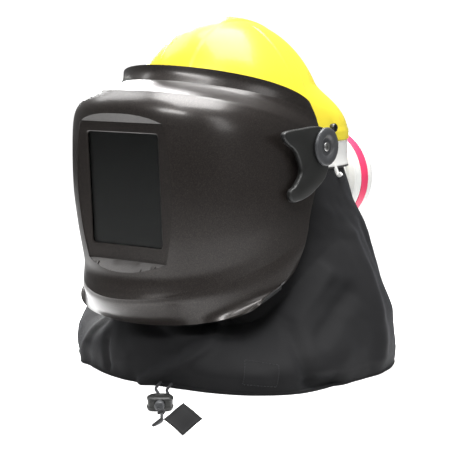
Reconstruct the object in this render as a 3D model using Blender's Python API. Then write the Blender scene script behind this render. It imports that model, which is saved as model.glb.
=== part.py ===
"""Powered air respirator: welding shield, hard hat, fan unit, round filter and shroud.

The wearer faces -Y, the wearer's left is +X, and the hem of the shroud rests on z = 0.
Sizes are in millimetres here and become metres when a mesh is made.
"""

import math

import bmesh
import bpy
from mathutils import Vector

MM = 0.001
GAP = 0.4

# Head centre line and shield pivot
HEAD_Y = -17.0
PIVOT_Z = 251.5
PIVOT = Vector((0.0, HEAD_Y, PIVOT_Z))

# Hard hat
HAT_X, HAT_FRONT, HAT_REAR, HAT_RISE = 112.0, 110.0, 134.0, 142.0
HAT_POWER_X, HAT_POWER_Y = 1.93, 2.2
SKIRT_POWER = 4.6
HAT_WALL = 2.6
BROW_RIM, NAPE_RIM = 55.0, 2.0

# Welding shield: wall and filter plate of 4.5 by 5.25 inches
SHIELD_WALL = 2.6
WINDOW_W, WINDOW_H = 99.6, 122.0
PLATE_W, PLATE_H = 114.3, 133.4
WINDOW_Z = 209.0
WINDOW_TILT = math.radians(3.5)
WINDOW_Y = -171.7
# The niche round the window is a flat face with a sloped sill below it and a sloped head above it
NICHE_LOW, NICHE_HIGH = -77.0, 72.0
SILL_SLOPE, HEAD_SLOPE = 1.17, 0.68
NICHE_DEEP = 60.0

# Pivot stack along X
POST_START, POST_R, POST_FLANGE_R = 112.6, 8.0, 13.0
SHIELD_HOLE_R = 8.6
ARM_IN, ARM_OUT = 134.7, 141.0
KNOB_R, KNOB_OUT = 21.5, 147.0

# Fan unit and filter, turned about an axis along +Y
FAN_Z = 197.0
FAN_R = 56.0
FAN_FRONT, FAN_SPLIT, FAN_BACK = 118.6, 148.0, 160.0
FILTER_R, FILTER_FRONT, FILTER_BACK = 60.0, 165.0, 211.0
BAND_FRONT, BAND_BACK = 183.0, 198.0

# Face frame and inner visor, a curved band about the head
FRAME_X, FRAME_Y, FRAME_WALL, FRAME_LOW = 106.0, 143.0, 3.0, 223.0
VISOR_LOW, VISOR_HIGH = 131.0, 277.0

# Headband
BAND_X, BAND_Y, BAND_CENTRE_Y, BAND_WALL = 80.0, 93.0, -12.0, 1.6

# Drawcord on the floor
CORD_R = 1.5
LOCK_PLACE = Vector((112.0, -262.0, 7.4))
LOCK_TURN = math.radians(38)
TAB_PLACE = Vector((188.0, -318.0, 13.2))
TAB_SIDE, TAB_THICK, TAB_TILT = 26.0, 1.8, math.radians(40)


def clear_scene():
    for item in list(bpy.data.objects):
        bpy.data.objects.remove(item, do_unlink=True)


def finish(name, colour, rough=0.5, metal=0.0, alpha=1.0):
    """A Principled material, made once for each name."""
    if name in bpy.data.materials:
        return bpy.data.materials[name]
    material = bpy.data.materials.new(name)
    material.use_nodes = True
    shader = material.node_tree.nodes["Principled BSDF"]
    shader.inputs["Base Color"].default_value = (*colour, 1.0)
    shader.inputs["Roughness"].default_value = rough
    shader.inputs["Metallic"].default_value = metal
    shader.inputs["Alpha"].default_value = alpha
    return material


def shield_paint():
    return finish("shield_paint", (0.03, 0.024, 0.021), 0.33, 0.35)


def hat_yellow():
    return finish("hat_yellow", (0.95, 0.82, 0.03), 0.22)


def black_plastic():
    return finish("black_plastic", (0.028, 0.028, 0.03), 0.45)


def white_plastic():
    return finish("white_plastic", (0.82, 0.82, 0.8), 0.4)


def grey_strap():
    return finish("grey_strap", (0.2, 0.2, 0.21), 0.7)


def clear_plastic():
    return finish("clear_plastic", (0.9, 0.93, 0.95), 0.05, 0.0, 0.3)


def dark_glass():
    return finish("dark_glass", (0.005, 0.008, 0.006), 0.05, 0.0, 0.95)


def black_fabric():
    return finish("black_fabric", (0.02, 0.02, 0.022), 0.85)


def steel():
    return finish("steel", (0.5, 0.5, 0.5), 0.35, 1.0)


def soft_rubber():
    return finish("soft_rubber", (0.05, 0.05, 0.05), 0.8)


def lerp(a, b, t):
    return a + (b - a) * t


def smooth(t):
    t = min(1.0, max(0.0, t))
    return t * t * (3.0 - 2.0 * t)


def signed_power(value, power):
    return math.copysign(abs(value) ** power, value)


def make(name, points, faces, material, origin=(0.0, 0.0, 0.0)):
    """One object from millimetre points in world space, with its origin where asked."""
    origin = Vector(origin)
    mesh = bpy.data.meshes.new(name)
    mesh.from_pydata([(Vector(p) - origin) * MM for p in points], [], faces)
    work = bmesh.new()
    work.from_mesh(mesh)
    bmesh.ops.recalc_face_normals(work, faces=work.faces)
    work.to_mesh(mesh)
    work.free()
    mesh.shade_smooth()
    mesh.set_sharp_from_angle(angle=math.radians(35))
    mesh.materials.append(material)
    item = bpy.data.objects.new(name, mesh)
    item.location = origin * MM
    bpy.context.scene.collection.objects.link(item)
    return item


def skin(rings, loop=False):
    """Faces through closed rings of equal count; the end rings are capped unless they loop."""
    count = len(rings[0])
    points = [p for ring in rings for p in ring]
    faces = []
    spans = len(rings) if loop else len(rings) - 1
    for i in range(spans):
        here, there = i * count, ((i + 1) % len(rings)) * count
        for j in range(count):
            k = (j + 1) % count
            faces.append((here + j, here + k, there + k, there + j))
    if not loop:
        faces.append(tuple(range(count))[::-1])
        faces.append(tuple(range(len(points) - count, len(points))))
    return points, faces


def sheet_solid(outer, inner, keep=None):
    """A wall between two grids of equal size; keep(i, j) says which cells stand."""
    rows, columns = len(outer), len(outer[0])
    points = [p for grid in (outer, inner) for row in grid for p in row]
    half = rows * columns

    def kept(i, j):
        inside = 0 <= i < rows - 1 and 0 <= j < columns - 1
        return inside and (keep is None or keep(i, j))

    def at(i, j):
        return i * columns + j

    faces = []
    for i in range(rows - 1):
        for j in range(columns - 1):
            if not kept(i, j):
                continue
            a, b, c, d = at(i, j), at(i, j + 1), at(i + 1, j + 1), at(i + 1, j)
            faces.append((a, b, c, d))
            faces.append((d + half, c + half, b + half, a + half))
            for near, far, place in ((a, b, (i - 1, j)), (b, c, (i, j + 1)),
                                     (c, d, (i + 1, j)), (d, a, (i, j - 1))):
                if not kept(*place):
                    faces.append((far, near, near + half, far + half))
    used = sorted({index for face in faces for index in face})
    place_of = {old: new for new, old in enumerate(used)}
    return [points[i] for i in used], [tuple(place_of[i] for i in face) for face in faces]


def circle(radius, y, centre_x, centre_z, count=32):
    """Points of a circle about an axis along +Y."""
    step = 2 * math.pi / count
    return [Vector((centre_x + radius * math.cos(i * step), y,
                    centre_z + radius * math.sin(i * step))) for i in range(count)]


def turned_y(name, profile, material, centre=(0.0, FAN_Z), count=32, loop=False):
    """A turned piece on an axis along +Y; profile holds (y, radius) pairs."""
    rings = [circle(radius, y, centre[0], centre[1], count) for y, radius in profile]
    return make(name, *skin(rings, loop), material, (centre[0], profile[0][0], centre[1]))


def turned_x(name, profile, material, y, z, side, count=20, loop=False):
    """A turned piece on an axis along X; profile holds (distance, radius) pairs."""
    step = 2 * math.pi / count
    rings = [[Vector((side * x, y + r * math.cos(i * step), z + r * math.sin(i * step)))
              for i in range(count)] for x, r in profile]
    return make(name, *skin(rings, loop), material, (side * profile[0][0], y, z))


def rounded_box(name, low, high, material, bevel=1.0, origin=None):
    low, high = Vector(low), Vector(high)
    corners = [Vector((x, y, z)) for z in (low.z, high.z) for x, y in
               ((low.x, low.y), (high.x, low.y), (high.x, high.y), (low.x, high.y))]
    faces = [(3, 2, 1, 0), (4, 5, 6, 7), (0, 1, 5, 4), (1, 2, 6, 5), (2, 3, 7, 6), (3, 0, 4, 7)]
    item = make(name, corners, faces, material, origin or (low + high) / 2)
    if bevel:
        edge = item.modifiers.new("edges", "BEVEL")
        edge.width = bevel * MM
        edge.segments = 2
    return item


def hat_scale(rise, height, power):
    """Share of the full plan size left at a rise above the pivot."""
    share = min(1.0, max(0.0, rise / height))
    return (1.0 - share ** power) ** (1.0 / power)


def plan_point(x_half, y_half, turn, power=2.0):
    """Plan point in the direction of an angle from the front, on a superellipse."""
    across, ahead = math.sin(turn), math.cos(turn)
    far = (abs(across / x_half) ** power + abs(ahead / y_half) ** power) ** (-1.0 / power)
    return far * across, -far * ahead


def rim_rise(turn):
    """Height of the hat's rim above the pivot, at an angle from the front."""
    degrees = abs(math.degrees(turn))
    return lerp(BROW_RIM, NAPE_RIM, smooth((degrees - 47.0) / 33.0))


def hat_point(turn, rise, inset):
    """Point on the hat, or on a surface inset from it, at an angle and a rise."""
    height = HAT_RISE - inset
    ahead = math.cos(turn) > 0
    reach = (HAT_FRONT if ahead else HAT_REAR) - inset
    power = 2.0 if ahead else lerp(SKIRT_POWER, 2.0, smooth((rise - 12.0) / 55.0))
    x, y = plan_point((HAT_X - inset) * hat_scale(rise, height, HAT_POWER_X),
                      reach * hat_scale(rise, height, HAT_POWER_Y), turn, power)
    return Vector((x, HEAD_Y + y, PIVOT_Z + rise))


def hat_ring(share, inset, count):
    turns = [-math.pi + 2 * math.pi * i / count for i in range(count)]
    top = 0.994 * (HAT_RISE - inset)
    return [hat_point(turn, lerp(rim_rise(turn), top, share), inset) for turn in turns]


def hard_hat():
    count = 40
    shares = [0.0, 0.3, 0.55, 0.78, 0.93, 1.0]
    rings = [hat_ring(s, HAT_WALL, count) for s in reversed(shares)]
    rings += [hat_ring(s, 0.0, count) for s in shares]
    make("hard_hat_shell", *skin(rings), hat_yellow())
    for side, label in ((1, "left"), (-1, "right")):
        turned_x(f"shell_screw_{label}", [(111.6, 5.2), (113.2, 5.0), (114.0, 4.2)],
                 black_plastic(), HEAD_Y + 61.0, 268.0, side, 16)


def arch_point(turn, front, rear, rise):
    """(run, z) of an arch over the head, with its own reach ahead and behind."""
    reach = rear if math.cos(turn) > 0 else front
    return reach * math.cos(turn), PIVOT_Z + rise * math.sin(turn)


def arch_band(name, front, rear, rise, low, along_x):
    """A strap over the head: a bent band from one low end to the other."""
    wide, thick, steps = 19.0, 1.5, 18
    start = math.asin(low / rise)
    rings = []
    for i in range(steps + 1):
        turn = lerp(start, math.pi - start, i / steps)
        ring = []
        for across, depth in ((-wide / 2, 0), (wide / 2, 0), (wide / 2, thick), (-wide / 2, thick)):
            run, z = arch_point(turn, front - depth, rear - depth, rise - depth)
            ring.append(Vector((run, HEAD_Y + across, z)) if along_x
                        else Vector((across, HEAD_Y + run, z)))
        rings.append(ring)
    return make(name, *skin(rings), grey_strap())


def air_duct():
    """A flat tube under the hat that carries air from the fan to the brow."""
    steps, wide, deep, wall = 18, 44.0, 6.0, 1.0
    outer, inner = [], []
    for i in range(steps + 1):
        turn = lerp(math.radians(20), math.radians(150), i / steps)
        for rings, cut in ((outer, 0.0), (inner, wall)):
            half = wide / 2 - cut
            ring = []
            for across, depth in ((-half, cut), (half, cut), (half, deep - cut), (-half, deep - cut)):
                run, z = arch_point(turn, HAT_FRONT - 6.0 - depth, HAT_REAR - 6.0 - depth,
                                    HAT_RISE - 8.4 - depth)
                ring.append(Vector((across, HEAD_Y + run, z)))
            rings.append(ring)
    make("air_duct", *skin(outer + inner[::-1], loop=True), white_plastic())


def band_grid(x_half, y_half, centre_y, first, last, steps, heights, power=2.0):
    """Grid of points on an upright band, from one angle to another at each height."""
    grid = []
    for z in heights:
        row = []
        for i in range(steps + 1):
            x, y = plan_point(x_half, y_half, lerp(first, last, i / steps), power)
            row.append(Vector((x, centre_y + y, z)))
        grid.append(row)
    return grid


def band_piece(name, x_half, y_half, centre_y, degrees, steps, heights, wall, material):
    first, last = (math.radians(d) for d in degrees)
    outer = band_grid(x_half, y_half, centre_y, first, last, steps, heights)
    inner = band_grid(x_half - wall, y_half - wall, centre_y, first, last, steps, heights)
    return make(name, *sheet_solid(outer, inner), material)


def suspension():
    """Crown straps, headband, brow pad, nape pad and its ratchet knob."""
    arch_band("crown_strap_long", 97.2, 121.4, 126.4, 26.0, False)
    arch_band("crown_strap_cross", 106.0, 106.0, 123.4, 26.0, True)
    band_piece("headband", BAND_X, BAND_Y, BAND_CENTRE_Y, (-153, 153), 30, (262.0, 292.0),
               BAND_WALL, black_plastic())
    pad = BAND_WALL + 2 * GAP
    band_piece("brow_pad", BAND_X - pad, BAND_Y - pad, BAND_CENTRE_Y, (-61, 61), 16,
               (258.0, 277.0, 295.0), 4.0, soft_rubber())
    band_piece("nape_pad", BAND_X, BAND_Y, BAND_CENTRE_Y, (162, 198), 8, (256.0, 292.0),
               3.0, black_plastic())
    start = BAND_CENTRE_Y + BAND_Y + GAP
    teeth = 24
    rings = []
    for y, radius, depth in ((start, 7, 0), (start + 4, 7, 0), (start + 4, 17, 1.2),
                             (start + 13, 16.2, 1.2), (start + 14.5, 14.5, 0.8)):
        ring = []
        for i in range(teeth):
            turn = 2 * math.pi * i / teeth
            r = radius - depth * (i % 2)
            ring.append(Vector((r * math.cos(turn), y, 274.0 + r * math.sin(turn))))
        rings.append(ring)
    make("ratchet_knob", *skin(rings), black_plastic(), (0.0, start, 274.0))


def frame_parts():
    """White lower frame under the hat, black face frame and clear inner visor."""
    steps = 44
    outer, inner = [], []
    for share in (0.0, 0.5, 1.0):
        for grid, inset in ((outer, 1.2), (inner, 5.0)):
            row = []
            for i in range(steps + 1):
                turn = math.radians(lerp(66, 294, i / steps))
                wrapped = turn if turn <= math.pi else turn - 2 * math.pi
                top = rim_rise(wrapped) - 0.8
                point = hat_point(turn, 0.0, inset)
                point.z = lerp(FRAME_LOW, PIVOT_Z + top, share)
                row.append(point)
            grid.append(row)
    make("lower_frame", *sheet_solid(outer, inner), white_plastic())

    steps, low = 32, 106.0
    shares = (0.0, 0.08, 0.16, 0.4, 0.62, 0.82, 0.9, 0.96, 1.0)
    outer, inner = [], []
    for share in shares:
        shrink = smooth((share - 0.8) / 0.2)
        for grid, inset in ((outer, 0.0), (inner, FRAME_WALL)):
            row = []
            for i in range(steps + 1):
                turn = math.radians(lerp(-60, 60, i / steps))
                top = PIVOT_Z + rim_rise(turn) - 3.0
                tall = smooth((top - 285.0) / 20.0) * shrink
                x, y = plan_point(FRAME_X * (1 - 0.05 * tall) - inset,
                                  FRAME_Y * (1 - 0.24 * tall) - inset, turn)
                row.append(Vector((x, HEAD_Y + y, lerp(low, top, share))))
            grid.append(row)

    def keep(i, j):
        in_window = 2 <= i < 5 and 4 <= j < steps - 4
        return not in_window

    make("face_frame", *sheet_solid(outer, inner, keep), black_plastic())
    reach = 2.0
    band_piece("face_visor", FRAME_X + reach, FRAME_Y + reach, HEAD_Y, (-53, 53), 28,
               (VISOR_LOW, VISOR_HIGH), 1.6, clear_plastic())


# Each station runs round the shield from the middle to the rear edge at one level:
# (front y, front z, side x, rear y, rear z, plan power), y from the head's centre line.
STATIONS = (
    (-120.0, 341.0, 121.0, 1.0, 299.0, 1.70),
    (-122.5, 333.5, 122.5, 6.0, 290.0, 1.70),
    (-128.0, 325.0, 123.5, 10.0, 282.0, 1.72),
    (-140.0, 320.5, 124.5, 12.5, 274.0, 1.85),
    (-165.0, 315.0, 126.5, 15.0, 266.0, 2.30),
    (-179.0, 303.0, 128.0, 16.0, 257.0, 2.55),
    (-184.5, 286.0, 129.5, 15.0, 246.0, 2.70),
    (-186.0, 250.0, 131.0, 7.0, 226.0, 2.65),
    (-185.0, 205.0, 133.0, -4.0, 204.0, 2.50),
    (-183.0, 160.0, 134.0, -12.0, 188.0, 2.25),
    (-179.5, 128.0, 134.3, -15.0, 180.0, 2.10),
    (-178.5, 112.0, 134.4, -17.0, 174.0, 2.02),
    (-183.0, 101.0, 134.5, -18.5, 168.0, 1.93),
    (-188.0, 93.5, 134.5, -20.0, 160.0, 1.86),
    (-186.0, 85.5, 134.0, -28.0, 140.0, 1.85),
    (-176.0, 73.0, 131.0, -48.0, 112.0, 1.84),
    (-160.0, 63.0, 126.0, -92.0, 94.0, 1.88),
)
SHIELD_SLOPE_POWER = 2.2


def shield_point(station, turn):
    """Point of the shield's outer surface at an angle from the middle of its front."""
    front_y, front_z, side_x, rear_y, rear_z, power = station
    x = side_x * signed_power(math.sin(turn), 2.0 / power)
    y = lerp(rear_y, front_y, abs(math.cos(turn)) ** (2.0 / power))
    back = (abs(turn) / (math.pi / 2)) ** SHIELD_SLOPE_POWER
    return Vector((x, HEAD_Y + y, lerp(front_z, rear_z, back)))


def blended(stations, per_span):
    """The stations with Catmull-Rom ones between them."""
    ends = [stations[0], *stations, stations[-1]]
    result = []
    for i in range(1, len(ends) - 2):
        for step in range(per_span):
            t = step / per_span
            result.append(tuple(0.5 * (2 * b + (c - a) * t + (2 * a - 5 * b + 4 * c - d) * t * t
                                       + (3 * b - a - 3 * c + d) * t ** 3)
                                for a, b, c, d in zip(*ends[i - 1:i + 3])))
    result.append(stations[-1])
    return result


def window_point(x, depth, z):
    """Point from the window's own axes; depth runs backwards from the bezel's face."""
    rise = z * math.cos(WINDOW_TILT) + depth * math.sin(WINDOW_TILT)
    back = depth * math.cos(WINDOW_TILT) - z * math.sin(WINDOW_TILT)
    return Vector((x, HEAD_Y + WINDOW_Y + back, WINDOW_Z + rise))


def window_box(name, wide, high, front, back, material):
    points = [window_point(x * wide / 2, depth, z * high / 2) for depth in (front, back)
              for x, z in ((-1, -1), (1, -1), (1, 1), (-1, 1))]
    faces = [(0, 1, 2, 3), (7, 6, 5, 4), (0, 4, 5, 1), (1, 5, 6, 2), (2, 6, 7, 3), (3, 7, 4, 0)]
    return make(name, points, faces, material)


def window_ring(name, outer, inner, front, back, material):
    """A flat rectangular ring about the window's axis."""
    rings = []
    for size, depth in ((outer, front), (outer, back), (inner, back), (inner, front)):
        rings.append([window_point(x * size[0] / 2, depth, z * size[1] / 2)
                      for x, z in ((-1, -1), (1, -1), (1, 1), (-1, 1))])
    return make(name, *skin(rings, loop=True), material)


def niche_depth(z):
    """Depth of the niche's surface at a height in the window's own axes; negative is ahead."""
    return min(0.0, (z - NICHE_LOW) * SILL_SLOPE, (NICHE_HIGH - z) * HEAD_SLOPE)


def window_axes(point):
    """(depth, height) in the window's own axes."""
    away = point.y - HEAD_Y - WINDOW_Y
    up = point.z - WINDOW_Z
    return (away * math.cos(WINDOW_TILT) + up * math.sin(WINDOW_TILT),
            up * math.cos(WINDOW_TILT) - away * math.sin(WINDOW_TILT))


def cut_niche(mesh):
    """Cuts the sheet along the niche's edges and moves what stands ahead of it back onto it."""
    ahead = Vector((0.0, -math.cos(WINDOW_TILT), -math.sin(WINDOW_TILT)))
    upward = Vector((0.0, -math.sin(WINDOW_TILT), math.cos(WINDOW_TILT)))
    work = bmesh.new()
    work.from_mesh(mesh)
    bmesh.ops.translate(work, verts=work.verts, vec=PIVOT * MM)
    slopes = ((NICHE_LOW, upward), (NICHE_HIGH, upward), (0.0, ahead),
              (NICHE_LOW, (upward + ahead / -SILL_SLOPE)), (NICHE_HIGH, (upward - ahead / -HEAD_SLOPE)))
    for height, normal in slopes:
        place = window_point(0.0, 0.0, height) * MM
        near = [f for f in work.faces
                if f.calc_center_median().y < (HEAD_Y - 130.0) * MM
                and window_axes(f.calc_center_median() / MM)[1] > NICHE_LOW - NICHE_DEEP / 2]
        parts = {e for f in near for e in f.edges} | {v for f in near for v in f.verts} | set(near)
        bmesh.ops.bisect_plane(work, geom=list(parts), plane_co=place, plane_no=normal, dist=1e-6)
    for vert in work.verts:
        depth, height = window_axes(vert.co / MM)
        back = niche_depth(height) - depth
        if 0.0 < back < NICHE_DEEP and abs(vert.co.x) < 0.09 and height > NICHE_LOW - NICHE_DEEP / 2:
            vert.co -= ahead * back * MM
    bmesh.ops.translate(work, verts=work.verts, vec=-PIVOT * MM)
    bmesh.ops.remove_doubles(work, verts=work.verts, dist=8e-4)
    work.to_mesh(mesh)
    work.free()


def hidden(item):
    item.hide_render = True
    item.display_type = "WIRE"
    return item


def combine(item, other, operation):
    step = item.modifiers.new(operation.lower(), "BOOLEAN")
    step.operation = operation
    step.object = hidden(other)


def shield_hole(label, side):
    return turned_x(f"pivot_hole_{label}", [(100.0, SHIELD_HOLE_R), (133.0, SHIELD_HOLE_R)],
                    steel(), HEAD_Y, PIVOT_Z, side, 24)


def weld_shield():
    columns = 36
    levels = blended(STATIONS, 2)
    grid = [[shield_point(s, lerp(-math.pi / 2, math.pi / 2, i / columns))
             for i in range(columns + 1)] for s in levels]
    points = [p for row in grid for p in row]
    wide = columns + 1
    faces = [(i * wide + j, i * wide + j + 1, (i + 1) * wide + j + 1, (i + 1) * wide + j)
             for i in range(len(levels) - 1) for j in range(columns)]
    shell = make("weld_shield", points, faces, shield_paint(), PIVOT)
    cut_niche(shell.data)
    wall = shell.modifiers.new("wall", "SOLIDIFY")
    wall.thickness = SHIELD_WALL * MM
    wall.offset = -1.0
    holder = window_ring("lens_holder", (PLATE_W + 5, PLATE_H + 5), (PLATE_W + 1.4, PLATE_H + 1.4),
                         2.2, 13.4, shield_paint())
    combine(shell, holder, "UNION")
    combine(shell, window_box("window_hole", WINDOW_W, WINDOW_H, -12.0, 40.0, steel()),
            "DIFFERENCE")
    for side, label in ((1, "left"), (-1, "right")):
        combine(shell, shield_hole(label, side), "DIFFERENCE")
    window_box("cover_lens", PLATE_W, PLATE_H, 3.0, 4.6, clear_plastic())
    window_ring("lens_gasket", (PLATE_W, PLATE_H), (PLATE_W - 10, PLATE_H - 10), 5.0, 6.2,
                soft_rubber())
    window_box("filter_lens", PLATE_W, PLATE_H, 6.6, 9.8, dark_glass())
    window_ring("lens_retainer", (PLATE_W, PLATE_H), (PLATE_W - 9, PLATE_H - 9), 10.2, 13.2,
                black_plastic())


# Side arm outline, (y, z) from the pivot, as two sweeping curves that meet at rounded ends.
ARM_OUTLINE = (
    (-72.0, 18.5), (-42.0, 21.4), (-11.0, 22.6), (6.0, 18.0), (17.0, 8.0), (19.0, -1.0),
    (12.0, -18.0), (4.0, -34.0), (-10.0, -44.0), (-26.0, -52.0), (-44.0, -56.5),
    (-58.0, -56.0), (-61.0, -45.0), (-51.0, -39.0), (-41.0, -26.0), (-45.0, -12.0),
    (-54.0, -1.0), (-69.0, 8.0),
)


def side_arm(label, side):
    rings = []
    for x in (ARM_IN, ARM_OUT):
        rings.append([Vector((side * x, HEAD_Y + y, PIVOT_Z + z)) for y, z in ARM_OUTLINE])
    arm = make(f"side_arm_{label}", *skin(rings), black_plastic(), (side * ARM_IN, HEAD_Y, PIVOT_Z))
    hole = turned_x(f"arm_hole_{label}", [(100.0, SHIELD_HOLE_R), (160.0, SHIELD_HOLE_R)],
                    steel(), HEAD_Y, PIVOT_Z, side, 24)
    combine(arm, hole, "DIFFERENCE")


def pivots():
    """Each side's post, friction washer, arm, tension knob and screw."""
    for side, label in ((1, "left"), (-1, "right")):
        turned_x(f"pivot_post_{label}",
                 [(POST_START, POST_FLANGE_R), (116.0, POST_FLANGE_R), (116.0, POST_R),
                  (ARM_OUT - 0.2, POST_R)], white_plastic(), HEAD_Y, PIVOT_Z, side, 20)
        turned_x(f"friction_washer_{label}",
                 [(131.4, 14.0), (134.3, 14.0), (134.3, SHIELD_HOLE_R), (131.4, SHIELD_HOLE_R)],
                 soft_rubber(), HEAD_Y, PIVOT_Z, side, 20, True)
        side_arm(label, side)
        knob = [(ARM_OUT + GAP, 3.6), (ARM_OUT + GAP, 18.5), (142.6, 20.8), (144.5, KNOB_R),
                (146.2, 20.0), (KNOB_OUT, 17.0), (146.6, 12.5), (144.6, 10.2), (143.8, 9.6),
                (143.8, 3.6)]
        turned_x(f"tension_knob_{label}", knob, black_plastic(), HEAD_Y, PIVOT_Z, side, 24, True)
        turned_x(f"knob_screw_{label}", [(ARM_OUT + 0.2, 3.2), (144.2, 3.2), (144.2, 5.0),
                                         (145.4, 4.4)], steel(), HEAD_Y, PIVOT_Z, side, 18)


def fan_unit():
    """Housing, cover, motor, impeller, circuit board and status light."""
    wall = 2.4
    turned_y("blower_housing",
             [(FAN_FRONT, 20.0), (FAN_FRONT, 44.0), (FAN_FRONT + 3, 52.0), (FAN_FRONT + 10, FAN_R),
              (FAN_SPLIT, FAN_R), (FAN_SPLIT, FAN_R - wall), (FAN_FRONT + 10, FAN_R - wall),
              (FAN_FRONT + wall, 46.0), (FAN_FRONT + wall, 20.0)],
             white_plastic(), count=28, loop=True)
    turned_y("blower_cover",
             [(FAN_SPLIT + 0.4, FAN_R), (FAN_BACK - 4, FAN_R), (FAN_BACK, 51.0), (FAN_BACK, 24.0),
              (FAN_BACK + 8, 24.0), (FAN_BACK + 8, 20.0), (FAN_BACK - wall, 20.0),
              (FAN_BACK - wall, 48.0), (FAN_SPLIT + 0.4, FAN_R - wall)],
             white_plastic(), count=28, loop=True)
    turned_y("motor", [(FAN_FRONT + 0.6, 17.0), (134.0, 17.0), (134.0, 2.0), (137.6, 2.0)], steel(),
             count=24)
    blades = 12
    rings = []
    for y, dip in ((138.0, 0.0), (139.6, 0.0), (139.6, 1.0), (148.6, 1.0)):
        ring = []
        for i in range(blades * 3):
            turn = 2 * math.pi * i / (blades * 3)
            tip = 42.0 if dip == 0.0 or i % 3 == 0 else 15.0
            ring.append(Vector((tip * math.cos(turn), y, FAN_Z + tip * math.sin(turn))))
        rings.append(ring)
    make("impeller", *skin(rings), black_plastic(), (0.0, 138.0, FAN_Z))
    rounded_box("control_board", (18, 123.0, 207), (32, 124.6, 230), black_plastic(), 0)


def filter_parts():
    """Round filter: case with a groove, coloured band, pleated core and rear grille."""
    wall = 2.2
    turned_y("filter_housing",
             [(FILTER_FRONT, 25.0), (FILTER_FRONT, 54.0), (FILTER_FRONT + 4, FILTER_R),
              (BAND_FRONT, FILTER_R), (BAND_FRONT, 58.6), (BAND_BACK, 58.6),
              (BAND_BACK, FILTER_R), (FILTER_BACK - 5, FILTER_R), (FILTER_BACK - 2, 58.4),
              (FILTER_BACK - 2, 56.2),
              (FILTER_FRONT + wall + 2, 56.2), (FILTER_FRONT + wall, 52.0),
              (FILTER_FRONT + wall, 25.0)],
             white_plastic(), count=36, loop=True)
    turned_y("filter_band",
             [(BAND_FRONT + 0.4, 60.4), (BAND_BACK - 0.4, 60.4), (BAND_BACK - 0.4, 58.9),
              (BAND_FRONT + 0.4, 58.9)], finish("filter_band", (0.85, 0.08, 0.2), 0.4),
             count=36, loop=True)
    turned_y("filter_core", [(170.0, 51.0), (206.0, 51.0)],
             finish("filter_paper", (0.85, 0.83, 0.78), 0.9), count=24)
    grille = turned_y("filter_grille", [(208.4, 55.6), (FILTER_BACK - 1, 55.6), (FILTER_BACK, 53.0)],
                      white_plastic(), count=36)
    for i in range(8):
        turn = 2 * math.pi * (i + 0.5) / 8
        slot = turned_y(f"grille_slot_{i}", [(200.0, 9.0), (220.0, 9.0)], steel(),
                        (36.0 * math.cos(turn), FAN_Z + 36.0 * math.sin(turn)), 12)
        combine(grille, slot, "DIFFERENCE")
    turned_y("filter_gasket", [(FAN_BACK + 0.4, 40.0), (FILTER_FRONT - 0.4, 40.0),
                               (FILTER_FRONT - 0.4, 29.0), (FAN_BACK + 0.4, 29.0)], soft_rubber(),
             count=24, loop=True)


def battery():
    """Tray behind the neck, with a pack that slides down out of it and a push latch."""
    low, high = Vector((-34.0, 82.0, 166.0)), Vector((34.0, 104.0, 219.0))
    wall = 2.0
    tray = rounded_box("battery_tray", low, high, black_plastic(), 0)
    bay = rounded_box("battery_bay", low + Vector((wall, wall, -10.0)),
                      high - Vector((wall, wall, wall)), steel(), 0)
    combine(tray, bay, "DIFFERENCE")
    latch_low, latch_high = Vector((-9.0, 77.6, 172.0)), Vector((9.0, 82.4, 184.0))
    room = Vector((GAP, 4.0, GAP))
    combine(tray, rounded_box("latch_hole", latch_low - room, latch_high + room, steel(), 0),
            "DIFFERENCE")
    gap = Vector((0.5, 0.5, 0.0))
    rounded_box("battery_pack", low + Vector((wall, wall, -3.0)) + gap,
                high - Vector((wall, wall, wall + 1.0)) - gap,
                finish("battery_grey", (0.12, 0.12, 0.13), 0.5), 1.0)
    rounded_box("battery_latch", latch_low, latch_high, hat_yellow(), 0.8)


def signals():
    """Blue status light on the left of the fan housing and the power button on its right."""
    y, z = 139.0, 240.0
    turned_x("status_light", [(42.6, 5.5), (45.0, 5.5), (47.4, 4.2), (48.6, 2.0)],
             finish("blue_lens", (0.25, 0.4, 0.75), 0.1), y, z, 1, 20)
    turned_x("power_button", [(43.6, 5.5), (47.6, 5.5), (48.4, 4.6)],
             finish("button_green", (0.05, 0.35, 0.12), 0.4), y, z, -1, 20)


def shroud_point(share, turn):
    """One point of the shroud, share 0 at the frame and 1 at the hem."""
    degrees = abs(math.degrees(turn))
    rear = smooth((degrees - 48.0) / 55.0)
    ahead = degrees < 90.0
    z_top = lerp(112.0, 221.5, rear)
    top_x, top_y = plan_point(112.0, 150.5 if ahead else 133.4, turn, lerp(2.0, 3.6, rear))
    mid_x, mid_y = plan_point(lerp(113.0, 146.0, rear), 150.0 if ahead else 134.2, turn,
                              lerp(2.1, 4.4, rear))
    corner = 1.55 if turn < 0 else 3.2
    wide_x, wide_y = plan_point(200.0, 168.0 if ahead else 160.0, turn, corner if ahead else 2.6)
    z_mid = lerp(62.0, 146.0, rear)
    waist, floor_turn, floor_z = 0.45, 0.85, 18.0
    if share < waist:
        t = share / waist
        return Vector((lerp(top_x, mid_x, t), HEAD_Y + lerp(top_y, mid_y, t), lerp(z_top, z_mid, t)))
    if share < floor_turn:
        t = (share - waist) / (floor_turn - waist)
        swell = math.sin(t * math.pi / 2)
        return Vector((lerp(mid_x, wide_x, swell), HEAD_Y + lerp(mid_y, wide_y, swell),
                       lerp(z_mid, floor_z, t)))
    t = (share - floor_turn) / (1.0 - floor_turn)
    tuck = lerp(1.0, 0.985, t)
    return Vector((wide_x * tuck, HEAD_Y + wide_y * tuck, lerp(floor_z, 0.0, t)))


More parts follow.
